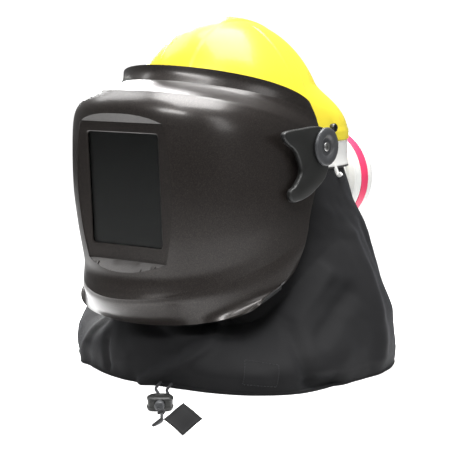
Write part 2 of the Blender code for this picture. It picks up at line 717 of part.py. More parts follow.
def shroud():
    """Fabric skirt from the frame to the floor, open at the top and at the hem."""
    count, wall = 40, 3.0
    shares = [0.0, 0.22, 0.45, 0.55, 0.65, 0.75, 0.85, 0.93, 1.0]
    turns = [-math.pi + 2 * math.pi * i / count for i in range(count)]
    outer = [[shroud_point(s, t) for t in turns] for s in shares]
    inner = []
    for ring in outer:
        inner.append([])
        for p in ring:
            flat = Vector((p.x, p.y - HEAD_Y, 0.0))
            inner[-1].append(p - flat.normalized() * wall)
    make("shroud", *skin(outer + inner[::-1], loop=True), black_fabric())


def lock_point(across, along, up):
    """Point from the cord lock's own axes: along runs away from the hem."""
    turn = LOCK_TURN
    return LOCK_PLACE + Vector((across * math.cos(turn) + along * math.sin(turn),
                                across * math.sin(turn) - along * math.cos(turn), up))


def lock_prism(name, outline, low, high, material, chamfer=0.0):
    rings = []
    centre_a = sum(a for a, _ in outline) / len(outline)
    centre_b = sum(b for _, b in outline) / len(outline)

    def ring(up, share):
        return [lock_point(lerp(centre_a, a, share), lerp(centre_b, b, share), up)
                for a, b in outline]

    rings = [ring(low, 1.0 - chamfer), ring(low + 1.5, 1.0), ring(high - 1.5, 1.0),
             ring(high, 1.0 - chamfer)]
    return make(name, *skin(rings), material)


def cord_route(name, points):
    """A round cord on a smooth route through the points given."""
    curve = bpy.data.curves.new(name, "CURVE")
    curve.dimensions = "3D"
    curve.bevel_depth = CORD_R * MM
    curve.bevel_resolution = 2
    curve.use_fill_caps = True
    route = smooth_route(points)
    spline = curve.splines.new("POLY")
    spline.points.add(len(route) - 1)
    for place, point in zip(spline.points, route):
        place.co = (*(point * MM), 1.0)
    curve.materials.append(black_fabric())
    item = bpy.data.objects.new(name, curve)
    bpy.context.scene.collection.objects.link(item)
    return item


def smooth_route(points, per_span=4):
    """A Catmull-Rom curve through the points."""
    ends = [points[0] * 2 - points[1]] + list(points) + [points[-1] * 2 - points[-2]]
    route = []
    for i in range(1, len(ends) - 2):
        a, b, c, d = ends[i - 1:i + 3]
        for step in range(per_span):
            t = step / per_span
            route.append(0.5 * ((2 * b) + (c - a) * t + (2 * a - 5 * b + 4 * c - d) * t * t
                                + (3 * b - a - 3 * c + d) * t ** 3))
    route.append(points[-1])
    for point in route:
        point.z = max(point.z, CORD_R + 0.1)
    return route


def tab_point(across, up, thick):
    """Point of the pull tab, which leans back from its lowest corner."""
    facing = Vector((math.cos(LOCK_TURN), math.sin(LOCK_TURN), 0.0))
    back = Vector((-math.sin(LOCK_TURN), math.cos(LOCK_TURN), 0.0))
    rise = back * math.cos(TAB_TILT) + Vector((0.0, 0.0, math.sin(TAB_TILT)))
    return TAB_PLACE + facing * across + rise * up + facing.cross(rise) * thick


def cord_lock():
    """Oval lock body on the floor, with the sprung button at its far end."""
    body = [(-7.0, -12.0), (7.0, -12.0), (13.0, -5.0), (13.0, 4.0), (9.0, 11.0), (-9.0, 11.0),
            (-13.0, 4.0), (-13.0, -5.0)]
    lock = lock_prism("cord_lock_body", body, -6.9, 6.9, black_plastic(), 0.12)
    pin, bore_floor, pin_start = 5.0, 5.0, 9.6

    def round_bar(name, spans, material):
        rings = [[lock_point(radius * math.cos(a), along, radius * math.sin(a))
                  for a in (2 * math.pi * i / 16 for i in range(16))] for along, radius in spans]
        return make(name, *skin(rings), material, lock_point(0.0, spans[0][0], 0.0))

    bore = round_bar("lock_bore", [(bore_floor, pin + 0.5), (20.0, pin + 0.5)], steel())
    combine(lock, bore, "DIFFERENCE")
    round_bar("cord_lock_button", [(pin_start, pin), (18.0, pin), (19.5, pin * 0.8)],
              finish("lock_grey", (0.09, 0.09, 0.1), 0.4))


def drawcord():
    """Two cords from the hem to the lock, and the tail with its knot and pull tab."""
    for label, across, start in (("left", 4.0, Vector((64.0, -186.5, 6.0))),
                                 ("right", -4.0, Vector((50.0, -188.0, 6.0)))):
        end = lock_point(across, -12.6, -2.0)
        lead = lock_point(across, -24.0, -5.5)
        route = [start, start + Vector((1.5, -6.0, -1.6)), start + Vector((5.0, -14.0, -4.0)),
                 (start + lead) / 2 + Vector((2.0, -2.0, -4.0)), lead, end]
        cord_route(f"drawcord_{label}", route)
    centre = lock_point(2.0, 26.6, -2.9)
    knot = []
    for i in range(6):
        rise = math.pi * (i + 0.5) / 6
        knot.append([centre + Vector((4.4 * math.sin(rise) * math.cos(t),
                                      4.4 * math.sin(rise) * math.sin(t), -4.4 * math.cos(rise)))
                     for t in (2 * math.pi * k / 12 for k in range(12))])
    make("cord_knot", *skin(knot), black_fabric())
    half = TAB_SIDE / math.sqrt(2.0)
    rings = [[tab_point(half * math.cos(k * math.pi / 2), half * math.sin(k * math.pi / 2), side)
              for k in range(4)] for side in (-TAB_THICK / 2, TAB_THICK / 2)]
    make("pull_tab", *skin(rings), black_fabric())
    corner = tab_point(-half - CORD_R - GAP, 0.0, 0.0)
    start = lock_point(3.0, 32.8, -4.0)
    route = [start, start + Vector((5.0, -6.0, -1.6)), start + Vector((13.0, -16.0, -1.8)),
             corner + Vector((-13.0, 3.0, -9.0)), corner + Vector((-5.0, 0.5, -3.6)), corner]
    cord_route("drawcord_tail", route)


def main():
    clear_scene()
    hard_hat()
    air_duct()
    suspension()
    frame_parts()
    weld_shield()
    pivots()
    fan_unit()
    filter_parts()
    battery()
    signals()
    shroud()
    cord_lock()
    drawcord()


if __name__ == "__main__":
    main()
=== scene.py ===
import logging
import math
from dataclasses import dataclass
from enum import Enum
from typing import Callable, Iterable, Sequence

import bmesh
import bpy
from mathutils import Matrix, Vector, noise


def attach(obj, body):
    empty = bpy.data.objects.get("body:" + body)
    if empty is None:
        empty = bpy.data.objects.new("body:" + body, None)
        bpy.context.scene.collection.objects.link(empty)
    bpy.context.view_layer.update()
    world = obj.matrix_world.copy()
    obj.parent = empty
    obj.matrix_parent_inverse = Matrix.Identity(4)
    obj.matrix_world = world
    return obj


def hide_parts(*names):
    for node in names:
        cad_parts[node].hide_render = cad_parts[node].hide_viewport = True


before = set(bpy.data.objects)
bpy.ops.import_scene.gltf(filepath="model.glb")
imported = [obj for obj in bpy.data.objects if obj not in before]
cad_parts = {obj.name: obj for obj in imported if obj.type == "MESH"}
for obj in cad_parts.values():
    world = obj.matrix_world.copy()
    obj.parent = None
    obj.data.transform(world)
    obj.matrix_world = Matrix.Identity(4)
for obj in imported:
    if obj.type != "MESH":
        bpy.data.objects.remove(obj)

logging.basicConfig(level=logging.INFO, format="%(message)s")
LOG = logging.getLogger("respirator")

MM = 0.001
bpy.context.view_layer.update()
HEAD_Y = -17.0
PIVOT_Z = 251.5
Points = list[Vector]
Faces = list[tuple[int, ...]]


class Body(Enum):
    """Bodies of the frame that pieces ride on."""

    HELMET = "helmet"
    SHIELD = "weld_shield"
    KNOB_LEFT = "knob_left"
    KNOB_RIGHT = "knob_right"
    RATCHET = "ratchet_knob"
    FILTER = "filter"
    POWER = "power_button"
    LOCK_BUTTON = "cord_lock_button"


class Side(Enum):
    """Sides of the wearer, with the sign of X."""

    LEFT = 1
    RIGHT = -1

    @property
    def label(self) -> str:
        """Name used in node names."""
        return self.name.lower()


def lerp(a: float, b: float, t: float) -> float:
    """Value between two others."""
    return a + (b - a) * t


def smooth(t: float) -> float:
    """Smooth step from 0 to 1."""
    t = min(1.0, max(0.0, t))
    return t * t * (3.0 - 2.0 * t)


def signed_power(value: float, power: float) -> float:
    """Power of the size of a value, with its sign kept."""
    return math.copysign(abs(value) ** power, value)


def plan_point(x_half: float, y_half: float, turn: float, power: float = 2.0) -> tuple[float,
                                                                                       float]:
    """Plan point on a superellipse in the direction of an angle.

    Args:
        x_half: Half width.
        y_half: Half length.
        turn: Angle from the front, in radians.
        power: 2 for an ellipse, more for squarer corners.

    Returns:
        The point's x and y.
    """
    across, ahead = math.sin(turn), math.cos(turn)
    far = (abs(across / x_half) ** power + abs(ahead / y_half) ** power) ** (-1.0 / power)
    return far * across, -far * ahead


def rounded_path(points: Sequence[Vector], per_span: int, closed: bool = False) -> Points:
    """A Catmull-Rom line through the points.

    Args:
        points: Points to pass through.
        per_span: New points for each span.
        closed: Whether the line returns to its start.

    Returns:
        The denser line.
    """
    if closed:
        ends = [points[-1], *points, points[0], points[1]]
    else:
        ends = [points[0] * 2 - points[1], *points, points[-1] * 2 - points[-2]]
    line = []
    for i in range(1, len(ends) - 2):
        a, b, c, d = ends[i - 1:i + 3]
        for step in range(per_span):
            t = step / per_span
            line.append(0.5 * (b * 2 + (c - a) * t + (a * 2 - b * 5 + c * 4 - d) * t * t
                               + (b * 3 - a - c * 3 + d) * t ** 3))
    if not closed:
        line.append(points[-1].copy())
    return line


# ---------------------------------------------------------------- shader groups

class ShaderTree:
    """A thin helper to add and link shader nodes."""

    def __init__(self, tree: bpy.types.NodeTree) -> None:
        """Wraps a node tree."""
        self.tree = tree

    def node(self, kind: str, values: dict | None = None, **settings: object) -> bpy.types.Node:
        """Adds a node.

        Args:
            kind: Node type without the ShaderNode prefix.
            values: Socket values or source sockets, by input name or number.
            **settings: Attributes of the node.

        Returns:
            The new node.
        """
        made = self.tree.nodes.new("ShaderNode" + kind)
        for key, value in settings.items():
            setattr(made, key, value)
        for key, value in (values or {}).items():
            if isinstance(value, bpy.types.NodeSocket):
                self.tree.links.new(value, made.inputs[key])
            else:
                made.inputs[key].default_value = value
        return made

    def ramp(self, source: bpy.types.NodeSocket,
             stops: Sequence[tuple[float, tuple]]) -> bpy.types.NodeSocket:
        """Adds a colour ramp.

        Args:
            source: Factor socket.
            stops: Positions with RGB colours.

        Returns:
            The colour output.
        """
        ramp = self.node("ValToRGB", {"Fac": source})
        line = ramp.color_ramp.elements
        while len(line) < len(stops):
            line.new(0.5)
        for element, (place, colour) in zip(line, stops):
            element.position = place
            element.color = (*colour, 1.0)
        return ramp.outputs["Color"]

    def maths(self, operation: str, first: object, second: object = 0.0) -> bpy.types.NodeSocket:
        """Adds a maths node and returns its output."""
        return self.node("Math", {0: first, 1: second}, operation=operation).outputs[0]


def shader_group(name: str, inputs: Sequence[tuple[str, float]], outputs: Sequence[tuple[str, str]],
                 build: Callable[[ShaderTree, bpy.types.Node, bpy.types.Node],
                                 None]) -> bpy.types.NodeTree:
    """Builds a node group once.

    Args:
        name: Group name.
        inputs: Float inputs with their defaults.
        outputs: Output names with their socket kinds.
        build: Function that fills the group between its input and output nodes.

    Returns:
        The group's node tree.
    """
    if name in bpy.data.node_groups:
        return bpy.data.node_groups[name]
    group = bpy.data.node_groups.new(name, "ShaderNodeTree")
    for label, default in inputs:
        group.interface.new_socket(label, in_out="INPUT",
                                   socket_type="NodeSocketFloat").default_value = default
    for label, kind in outputs:
        group.interface.new_socket(label, in_out="OUTPUT", socket_type="NodeSocket" + kind)
    tree = ShaderTree(group)
    build(tree, group.nodes.new("NodeGroupInput"), group.nodes.new("NodeGroupOutput"))
    return group


def build_grain(tree: ShaderTree, given: bpy.types.Node, result: bpy.types.Node) -> None:
    """Fine moulded grain with slow uneven patches."""
    place = tree.node("TexCoord").outputs["Object"]
    fine = tree.node("TexNoise", {"Vector": place, "Scale": given.outputs["Scale"], "Detail": 3.0})
    slow = tree.node("TexNoise", {"Vector": place, "Scale": 14.0, "Detail": 4.0})
    tree.tree.links.new(fine.outputs["Fac"], result.inputs["Height"])
    tree.tree.links.new(slow.outputs["Fac"], result.inputs["Patches"])


def build_flakes(tree: ShaderTree, given: bpy.types.Node, result: bpy.types.Node) -> None:
    """Metal flakes: a bright speck in some small cells."""
    place = tree.node("TexCoord").outputs["Object"]
    cells = tree.node("TexVoronoi", {"Vector": place, "Scale": given.outputs["Scale"]})
    value = tree.node("SeparateColor", {"Color": cells.outputs["Color"]})
    speck = tree.node("MapRange", {"Value": value.outputs[0], "From Min": given.outputs["Sparse"],
                                   "From Max": 1.0, "To Min": 0.0, "To Max": 1.0})
    tree.tree.links.new(speck.outputs["Result"], result.inputs["Speck"])


def build_weave(tree: ShaderTree, given: bpy.types.Node, result: bpy.types.Node) -> None:
    """Twill of two crossing yarns over metric surface coordinates."""
    place = tree.node("TexCoord").outputs["UV"]
    scaled = tree.node("VectorMath", {0: place, "Scale": given.outputs["Yarns"]}, operation="SCALE")
    axes = tree.node("SeparateXYZ", {"Vector": scaled.outputs[0]})
    diagonal = tree.maths("ADD", axes.outputs[0], axes.outputs[1])
    twill = tree.maths("SINE", tree.maths("MULTIPLY", diagonal, math.pi))
    warp = tree.maths("SINE", tree.maths("MULTIPLY", axes.outputs[0], math.tau))
    weft = tree.maths("SINE", tree.maths("MULTIPLY", axes.outputs[1], math.tau))
    both = tree.maths("ADD", tree.maths("MULTIPLY", warp, weft), tree.maths("MULTIPLY", twill, 0.8))
    height = tree.maths("ADD", tree.maths("MULTIPLY", both, 0.25), 0.5)
    fuzz = tree.node("TexNoise", {"Vector": place, "Scale": 900.0, "Detail": 2.0})
    slow = tree.node("TexNoise", {"Vector": place, "Scale": 18.0, "Detail": 3.0})
    mixed = tree.maths("ADD", height, tree.maths("MULTIPLY", fuzz.outputs["Fac"], 0.5))
    tree.tree.links.new(mixed, result.inputs["Height"])
    tree.tree.links.new(slow.outputs["Fac"], result.inputs["Patches"])


def build_wear(tree: ShaderTree, given: bpy.types.Node, result: bpy.types.Node) -> None:
    """Mask of worn convex edges, broken up by noise."""
    edge = tree.node("NewGeometry").outputs["Pointiness"]
    place = tree.node("TexCoord").outputs["Object"]
    patch = tree.node("TexNoise", {"Vector": place, "Scale": given.outputs["Scale"], "Detail": 5.0})
    raised = tree.node("MapRange", {"Value": edge, "From Min": 0.52, "From Max": 0.60})
    mask = tree.maths("MULTIPLY", raised.outputs["Result"],
                      tree.maths("MULTIPLY", patch.outputs["Fac"], given.outputs["Amount"]))
    tree.tree.links.new(mask, result.inputs["Mask"])


def build_dust(tree: ShaderTree, given: bpy.types.Node, result: bpy.types.Node) -> None:
    """Thin settled dust on surfaces that face up."""
    facing = tree.node("SeparateXYZ", {"Vector": tree.node("NewGeometry").outputs["Normal"]})
    place = tree.node("TexCoord").outputs["Object"]
    patch = tree.node("TexNoise", {"Vector": place, "Scale": given.outputs["Scale"], "Detail": 6.0})
    upward = tree.node("MapRange", {"Value": facing.outputs[2], "From Min": 0.1, "From Max": 1.0})
    mask = tree.maths("MULTIPLY",
                      tree.maths("MULTIPLY", upward.outputs["Result"], patch.outputs["Fac"]),
                      given.outputs["Amount"])
    tree.tree.links.new(mask, result.inputs["Mask"])


def effect(tree: ShaderTree, name: str, **values: float) -> bpy.types.Node:
    """Places one of the shared effects in a material.

    Args:
        tree: The material's tree.
        name: grain, flakes, weave, wear or dust.
        **values: Input values by name.

    Returns:
        The group node.
    """
    recipes = {
        "grain": ([("Scale", 900.0)], [("Height", "Float"), ("Patches", "Float")], build_grain),
        "flakes": ([("Scale", 1600.0), ("Sparse", 0.6)], [("Speck", "Float")], build_flakes),
        "weave": ([("Yarns", 1400.0)], [("Height", "Float"), ("Patches", "Float")], build_weave),
        "wear": ([("Scale", 60.0), ("Amount", 1.0)], [("Mask", "Float")], build_wear),
        "dust": ([("Scale", 40.0), ("Amount", 0.1)], [("Mask", "Float")], build_dust),
    }
    made = tree.node("Group")
    made.node_tree = shader_group(name, *recipes[name])
    for key, value in values.items():
        made.inputs[key.capitalize()].default_value = value
    return made


@dataclass(frozen=True)
class Finish:
    """A moulded, painted or metal finish."""

    name: str
    colour: tuple[float, float, float]
    rough: float
    metal: float = 0.0
    grain: float = 900.0
    bump: float = 0.05
    patch: float = 0.08
    wear: float = 0.25
    worn: tuple[float, float, float] = (0.25, 0.25, 0.25)
    dust: float = 0.06
    coat: float = 0.0
    coat_rough: float = 0.1
    level: float = 0.5

    def material(self) -> bpy.types.Material:
        """Makes the material once and returns it."""
        if self.name in bpy.data.materials:
            return bpy.data.materials[self.name]
        made = bpy.data.materials.new(self.name)
        made.use_nodes = True
        tree = ShaderTree(made.node_tree)
        shader = made.node_tree.nodes["Principled BSDF"]
        self.fill(tree, shader)
        return made

    def base_colour(self, tree: ShaderTree, patches: bpy.types.NodeSocket) -> bpy.types.NodeSocket:
        """Colour with slow patches, worn edges and dust.

        Args:
            tree: The material's tree.
            patches: Slow noise.

        Returns:
            The colour socket.
        """
        darker = tuple(c * (1.0 - self.patch) for c in self.colour)
        lighter = tuple(min(1.0, c * (1.0 + self.patch)) for c in self.colour)
        colour = tree.ramp(patches, ((0.3, darker), (0.7, lighter)))
        worn = effect(tree, "wear", amount=self.wear)
        colour = tree.node("Mix", {0: worn.outputs["Mask"], 6: colour, 7: (*self.worn, 1.0)},
                           data_type="RGBA").outputs[2]
        dust = effect(tree, "dust", amount=self.dust)
        return tree.node("Mix", {0: dust.outputs["Mask"], 6: colour, 7: (0.6, 0.58, 0.55, 1.0)},
                         data_type="RGBA").outputs[2]

    def fill(self, tree: ShaderTree, shader: bpy.types.Node) -> None:
        """Fills the material's tree.

        Args:
            tree: The material's tree.
            shader: Its Principled node.
        """
        grain = effect(tree, "grain", scale=self.grain)
        tree.tree.links.new(self.base_colour(tree, grain.outputs["Patches"]),
                            shader.inputs["Base Color"])
        rough = tree.node("MapRange",
                          {"Value": grain.outputs["Patches"], "From Min": 0.3, "From Max": 0.7,
                                       "To Min": self.rough * 0.88, "To Max": self.rough * 1.12})
        tree.tree.links.new(rough.outputs["Result"], shader.inputs["Roughness"])
        bump = tree.node("Bump",
                         {"Height": grain.outputs["Height"], "Strength": self.bump,
                          "Distance": 0.0004})
        tree.tree.links.new(bump.outputs["Normal"], shader.inputs["Normal"])
        shader.inputs["Metallic"].default_value = self.metal
        shader.inputs["Coat Weight"].default_value = self.coat
        shader.inputs["Coat Roughness"].default_value = self.coat_rough
        shader.inputs["Specular IOR Level"].default_value = self.level


@dataclass(frozen=True)
class FlakePaint(Finish):
    """Dark moulding with fine metal flakes under a satin skin."""

    flake: tuple[float, float, float] = (0.16, 0.14, 0.125)

    def fill(self, tree: ShaderTree, shader: bpy.types.Node) -> None:
        """Adds the flakes to the plain finish.

        Args:
            tree: The material's tree.
            shader: Its Principled node.
        """
        super().fill(tree, shader)
        plain = shader.inputs["Base Color"].links[0].from_socket
        flakes = effect(tree, "flakes", scale=2600.0, sparse=0.5)
        amount = tree.maths("MULTIPLY", flakes.outputs["Speck"], 0.35)
        colour = tree.node("Mix", {0: amount, 6: plain, 7: (*self.flake, 1.0)},
                           data_type="RGBA").outputs[2]
        tree.tree.links.new(colour, shader.inputs["Base Color"])
        metal = tree.maths("ADD", tree.maths("MULTIPLY", flakes.outputs["Speck"], 0.3), self.metal)
        tree.tree.links.new(metal, shader.inputs["Metallic"])


@dataclass(frozen=True)
class Cloth(Finish):
    """Woven cloth with a soft sheen."""

    yarns: float = 1400.0
    sheen: float = 0.25
    sheen_tint: tuple[float, float, float] = (0.55, 0.57, 0.65)

    def fill(self, tree: ShaderTree, shader: bpy.types.Node) -> None:
        """Fills the tree with the weave's colour, with painted shade where the weave sits low, and its
        relief.

        Args:
            tree: The material's tree.
            shader: Its Principled node.
        """
        weave = effect(tree, "weave", yarns=self.yarns)
        # painted shade: the colour falls to 0.55 of itself where the weave's height is low, in the hollows
        # between the yarns
        darker = tuple(c * 0.55 for c in self.colour)
        yarn = tree.ramp(weave.outputs["Height"], ((0.25, darker), (0.9, self.colour)))
        patch = tree.ramp(weave.outputs["Patches"],
                          ((0.25, (0.82, 0.82, 0.84)), (0.75, (1.0, 1.0, 1.0))))
        colour = tree.node("Mix", {0: 1.0, 6: yarn, 7: patch}, data_type="RGBA",
                           blend_type="MULTIPLY").outputs[2]
        dust = effect(tree, "dust", amount=self.dust)
        colour = tree.node("Mix", {0: dust.outputs["Mask"], 6: colour, 7: (0.4, 0.4, 0.4, 1.0)},
                           data_type="RGBA").outputs[2]
        tree.tree.links.new(colour, shader.inputs["Base Color"])
        rough = tree.node("MapRange",
                          {"Value": weave.outputs["Patches"], "To Min": self.rough * 0.9,
                                       "To Max": self.rough})
        tree.tree.links.new(rough.outputs["Result"], shader.inputs["Roughness"])
        bump = tree.node("Bump",
                         {"Height": weave.outputs["Height"], "Strength": self.bump,
                          "Distance": 0.0003})
        tree.tree.links.new(bump.outputs["Normal"], shader.inputs["Normal"])
        shader.inputs["Sheen Weight"].default_value = self.sheen
        shader.inputs["Sheen Roughness"].default_value = 0.4
        shader.inputs["Sheen Tint"].default_value = (*self.sheen_tint, 1.0)
        shader.inputs["Specular IOR Level"].default_value = self.level


@dataclass(frozen=True)
class Clear(Finish):
    """Clear or tinted glass."""

    ior: float = 1.5
    transmission: float = 1.0

    def fill(self, tree: ShaderTree, shader: bpy.types.Node) -> None:
        """Fills the tree with glass whose roughness has faint smears.

        Args:
            tree: The material's tree.
            shader: Its Principled node.
        """
        place = tree.node("TexCoord").outputs["Object"]
        tilt = tree.node("Mapping",
                         {"Vector": place, "Rotation": (0.0, 0.9, 0.0), "Scale": (9.0, 3.0, 60.0)})
        smear = tree.node("TexNoise",
                          {"Vector": tilt.outputs["Vector"], "Scale": 1.6, "Detail": 4.0})
        rough = tree.node("MapRange",
                          {"Value": smear.outputs["Fac"], "From Min": 0.35, "From Max": 0.7,
                                       "To Min": self.rough, "To Max": self.rough * 2.5})
        tree.tree.links.new(rough.outputs["Result"], shader.inputs["Roughness"])
        shader.inputs["Base Color"].default_value = (*self.colour, 1.0)
        shader.inputs["IOR"].default_value = self.ior
        shader.inputs["Transmission Weight"].default_value = self.transmission


class Look:
    """Every finish of the respirator."""

    SHIELD = FlakePaint("shield_flake_paint", (0.0135, 0.0105, 0.0095), 0.33, 0.25, 1600.0, 0.015,
                        0.05, 0.10,
                        (0.08, 0.07, 0.065), 0.012, 0.30, 0.17, 0.5)
    SHIELD_IN = Finish("shield_inner_face", (0.02, 0.02, 0.021), 0.6, grain=700.0, bump=0.2,
                       wear=0.1)
    HAT = Finish("hat_yellow_gloss", (0.80, 0.66, 0.045), 0.30, 0.0, 1100.0, 0.012, 0.012, 0.03,
                 (1.0, 0.88, 0.05), 0.0, 0.12, 0.07, 0.25)
    BLACK = Finish("black_moulding", (0.010, 0.0105, 0.0095), 0.44, grain=1000.0, bump=0.10,
                   wear=0.4,
                   worn=(0.08, 0.08, 0.085), dust=0.02)
    KNOB = Finish("knob_dark_grey", (0.060, 0.062, 0.066), 0.40, grain=1000.0, bump=0.08, wear=0.3,
                  worn=(0.11, 0.11, 0.12), dust=0.02)
    WHITE = Finish("white_moulding", (0.80, 0.80, 0.78), 0.38, grain=800.0, bump=0.05, patch=0.02,
                   wear=0.1, worn=(0.9, 0.9, 0.9), dust=0.08, coat=0.2)
    GREY = Finish("grey_panel", (0.34, 0.35, 0.34), 0.42, grain=800.0, bump=0.06, patch=0.04,
                  dust=0.08)
    RUBBER = Finish("soft_black_rubber", (0.018, 0.018, 0.018), 0.75, grain=500.0, bump=0.25,
                    wear=0.2)
    STEEL = Finish("plated_steel", (0.50, 0.50, 0.49), 0.32, 1.0, 700.0, 0.1, 0.06, 0.2,
                   (0.7, 0.7, 0.7))
    DARK_STEEL = Finish("blackened_steel", (0.06, 0.06, 0.062), 0.4, 0.8, 700.0, 0.1, 0.06, 0.4)
    PINK = Finish("pink_band", (0.80, 0.035, 0.13), 0.42, grain=300.0, bump=0.05, patch=0.15,
                  wear=0.15,
                  worn=(0.9, 0.3, 0.4), dust=0.06)
    FOAM = Cloth("brow_foam_cover", (0.035, 0.035, 0.037), 0.9, bump=0.5, yarns=900.0, dust=0.02)
    FABRIC = Cloth("shroud_twill", (0.0065, 0.0065, 0.0073), 0.8, bump=0.4, dust=0.004, level=0.25,
                   sheen=0.05)
    CORD = Cloth("cord_braid", (0.018, 0.018, 0.019), 0.8, bump=0.6, yarns=1000.0, dust=0.03)
    STRAP = Cloth("strap_webbing", (0.16, 0.16, 0.17), 0.85, bump=0.6, yarns=700.0, dust=0.03)
    PAPER = Finish("pleated_paper", (0.86, 0.84, 0.78), 0.9, grain=400.0, bump=0.3, patch=0.05,
                   dust=0.05)
    BATTERY = Finish("battery_case", (0.10, 0.10, 0.11), 0.5, grain=600.0, bump=0.2, wear=0.3)
    BOARD = Finish("circuit_board", (0.02, 0.16, 0.06), 0.35, grain=400.0, bump=0.1, patch=0.2)
    GREEN = Finish("green_button", (0.03, 0.32, 0.10), 0.35, grain=600.0, bump=0.05)
    LENS = Clear("dark_filter_glass", (0.003, 0.0045, 0.0035), 0.05, transmission=0.0, ior=1.4)
    COVER = Clear("clear_cover_plate", (0.97, 0.98, 0.98), 0.008, ior=1.4)
    VISOR = Clear("clear_visor", (0.96, 0.98, 0.99), 0.008, ior=1.45)
    BLUE = Clear("blue_light_dome", (0.50, 0.62, 0.88), 0.10, transmission=0.6, ior=1.45)


# ---------------------------------------------------------------- mesh helpers

def build(name: str, points: Iterable[Vector], faces: Faces, finish: Finish, sharp: float = 35.0,
          inner: Finish | None = None) -> bpy.types.Object:
    """Makes an object from points in millimetres.

    Args:
        name: Piece name.
        points: Points in millimetres in the frame.
        faces: Faces by point number.
        finish: Its finish.
        sharp: Angle above which an edge is sharp, in degrees.
        inner: Finish of the second material slot.

    Returns:
        The new object.
    """
    mesh = bpy.data.meshes.new(name)
    mesh.from_pydata([p * MM for p in points], [], faces)
    work = bmesh.new()
    work.from_mesh(mesh)
    bmesh.ops.recalc_face_normals(work, faces=work.faces)
    work.to_mesh(mesh)
    work.free()
    mesh.materials.append(finish.material())
    if inner:
        mesh.materials.append(inner.material())
    mesh.shade_smooth()
    mesh.set_sharp_from_angle(angle=math.radians(sharp))
    item = bpy.data.objects.new(name, mesh)
    bpy.context.scene.collection.objects.link(item)
    return item


def bake(item: bpy.types.Object, sharp: float = 35.0) -> bpy.types.Object:
    """Applies every modifier of a piece.

    Args:
        item: The piece.
        sharp: Angle above which an edge is sharp, in degrees.

    Returns:
        The same piece.
    """
    bpy.context.view_layer.update()
    graph = bpy.context.evaluated_depsgraph_get()
    mesh = bpy.data.meshes.new_from_object(item.evaluated_get(graph), depsgraph=graph)
    item.modifiers.clear()
    item.data = mesh
    mesh.shade_smooth()
    mesh.set_sharp_from_angle(angle=math.radians(sharp))
    return item


def modify(item: bpy.types.Object, kind: str, **settings: object) -> bpy.types.Object:
    """Adds a modifier and returns the piece."""
    step = item.modifiers.new(kind.lower(), kind)
    for key, value in settings.items():
        setattr(step, key, value)
    return item


def combine(item: bpy.types.Object, other: bpy.types.Object, operation: str = "DIFFERENCE",
            sharp: float = 35.0) -> bpy.types.Object:
    """Cuts or joins another solid and removes that solid.

    Args:
        item: The piece kept.
        other: The solid used up.
        operation: DIFFERENCE, UNION or INTERSECT.
        sharp: Angle above which an edge is sharp, in degrees.

    Returns:
        The piece kept.
    """
    modify(item, "BOOLEAN", operation=operation, object=other, solver="EXACT")
    bake(item, sharp)
    bpy.data.objects.remove(other, do_unlink=True)
    return item


def skin(rings: Sequence[Sequence[Vector]], loop: bool = False, cap: bool = True) -> tuple[Points,
                                                                                           Faces]:
    """Faces through closed rings of equal count.

    Args:
        rings: The rings in order.
        loop: Whether the last ring joins the first.
        cap: Whether the end rings are closed with a face.

    Returns:
        Points and faces.
    """
    count = len(rings[0])
    points = [p for ring in rings for p in ring]
    faces: Faces = []
    for i in range(len(rings) if loop else len(rings) - 1):
        here, there = i * count, ((i + 1) % len(rings)) * count
        for j in range(count):
            k = (j + 1) % count
            faces.append((here + j, here + k, there + k, there + j))
    if not loop and cap:
        faces.append(tuple(range(count))[::-1])
        faces.append(tuple(range(len(points) - count, len(points))))
    return points, faces


def sheet(grid: Sequence[Sequence[Vector]]) -> tuple[Points, Faces]:
    """Points and faces of an open grid."""
    wide = len(grid[0])
    faces = [(i * wide + j, i * wide + j + 1, (i + 1) * wide + j + 1, (i + 1) * wide + j)
             for i in range(len(grid) - 1) for j in range(wide - 1)]
    return [p for row in grid for p in row], faces


class Axis(Enum):
    """Directions that a turned piece can have."""

    X = 0
    Y = 1
    Z = 2


def turned(name: str, profile: Sequence[tuple[float, float]], centre: Vector, axis: Axis,
           finish: Finish,
           side: int = 1, count: int = 72, loop: bool = False,
           teeth: Callable[[float], float] | None = None,
           sharp: float = 35.0) -> bpy.types.Object:
    """A turned piece.

    Args:
        name: Piece name.
        profile: Pairs of place along the axis and radius.
        centre: A point on the axis; its coordinate along the axis is not used.
        axis: Direction of the axis.
        finish: Its finish.
        side: 1 or -1, the direction of the profile along the axis.
        count: Points round the axis.
        loop: Whether the profile closes on itself.
        teeth: Share of the radius kept at an angle.
        sharp: Angle above which an edge is sharp, in degrees.

    Returns:
        The new piece.
    """
    rings = []
    for along, radius in profile:
        ring = []
        for i in range(count):
            turn = math.tau * i / count
            r = radius * (teeth(turn) if teeth else 1.0)
            flat = (r * math.cos(turn), r * math.sin(turn))
            if axis is Axis.X:
                ring.append(Vector((side * along, centre.y + flat[0], centre.z + flat[1])))
            elif axis is Axis.Y:
                ring.append(Vector((centre.x + flat[0], side * along, centre.z + flat[1])))
            else:
                ring.append(Vector((centre.x + flat[0], centre.y + flat[1], side * along)))
        rings.append(ring)
    return build(name, *skin(rings, loop), finish, sharp)


def soft_profile(points: Sequence[tuple[float, float]], radius: float,
                 steps: int = 3) -> list[tuple[float, float]]:
    """Rounds every inner corner of a turned profile.

    Args:
        points: The profile's corners.
        radius: Rounding radius.
        steps: Points along each rounding.

    Returns:
        The rounded profile.
    """
    line = [Vector(p) for p in points]
    result = [tuple(line[0])]
    for a, b, c in zip(line, line[1:], line[2:]):
        reach = min(radius, (a - b).length * 0.45, (c - b).length * 0.45)
        start, end = b + (a - b).normalized() * reach, b + (c - b).normalized() * reach
        for k in range(steps + 1):
            t = k / steps
            result.append(tuple(start.lerp(b, t).lerp(b.lerp(end, t), t)))
    result.append(tuple(line[-1]))
    return result


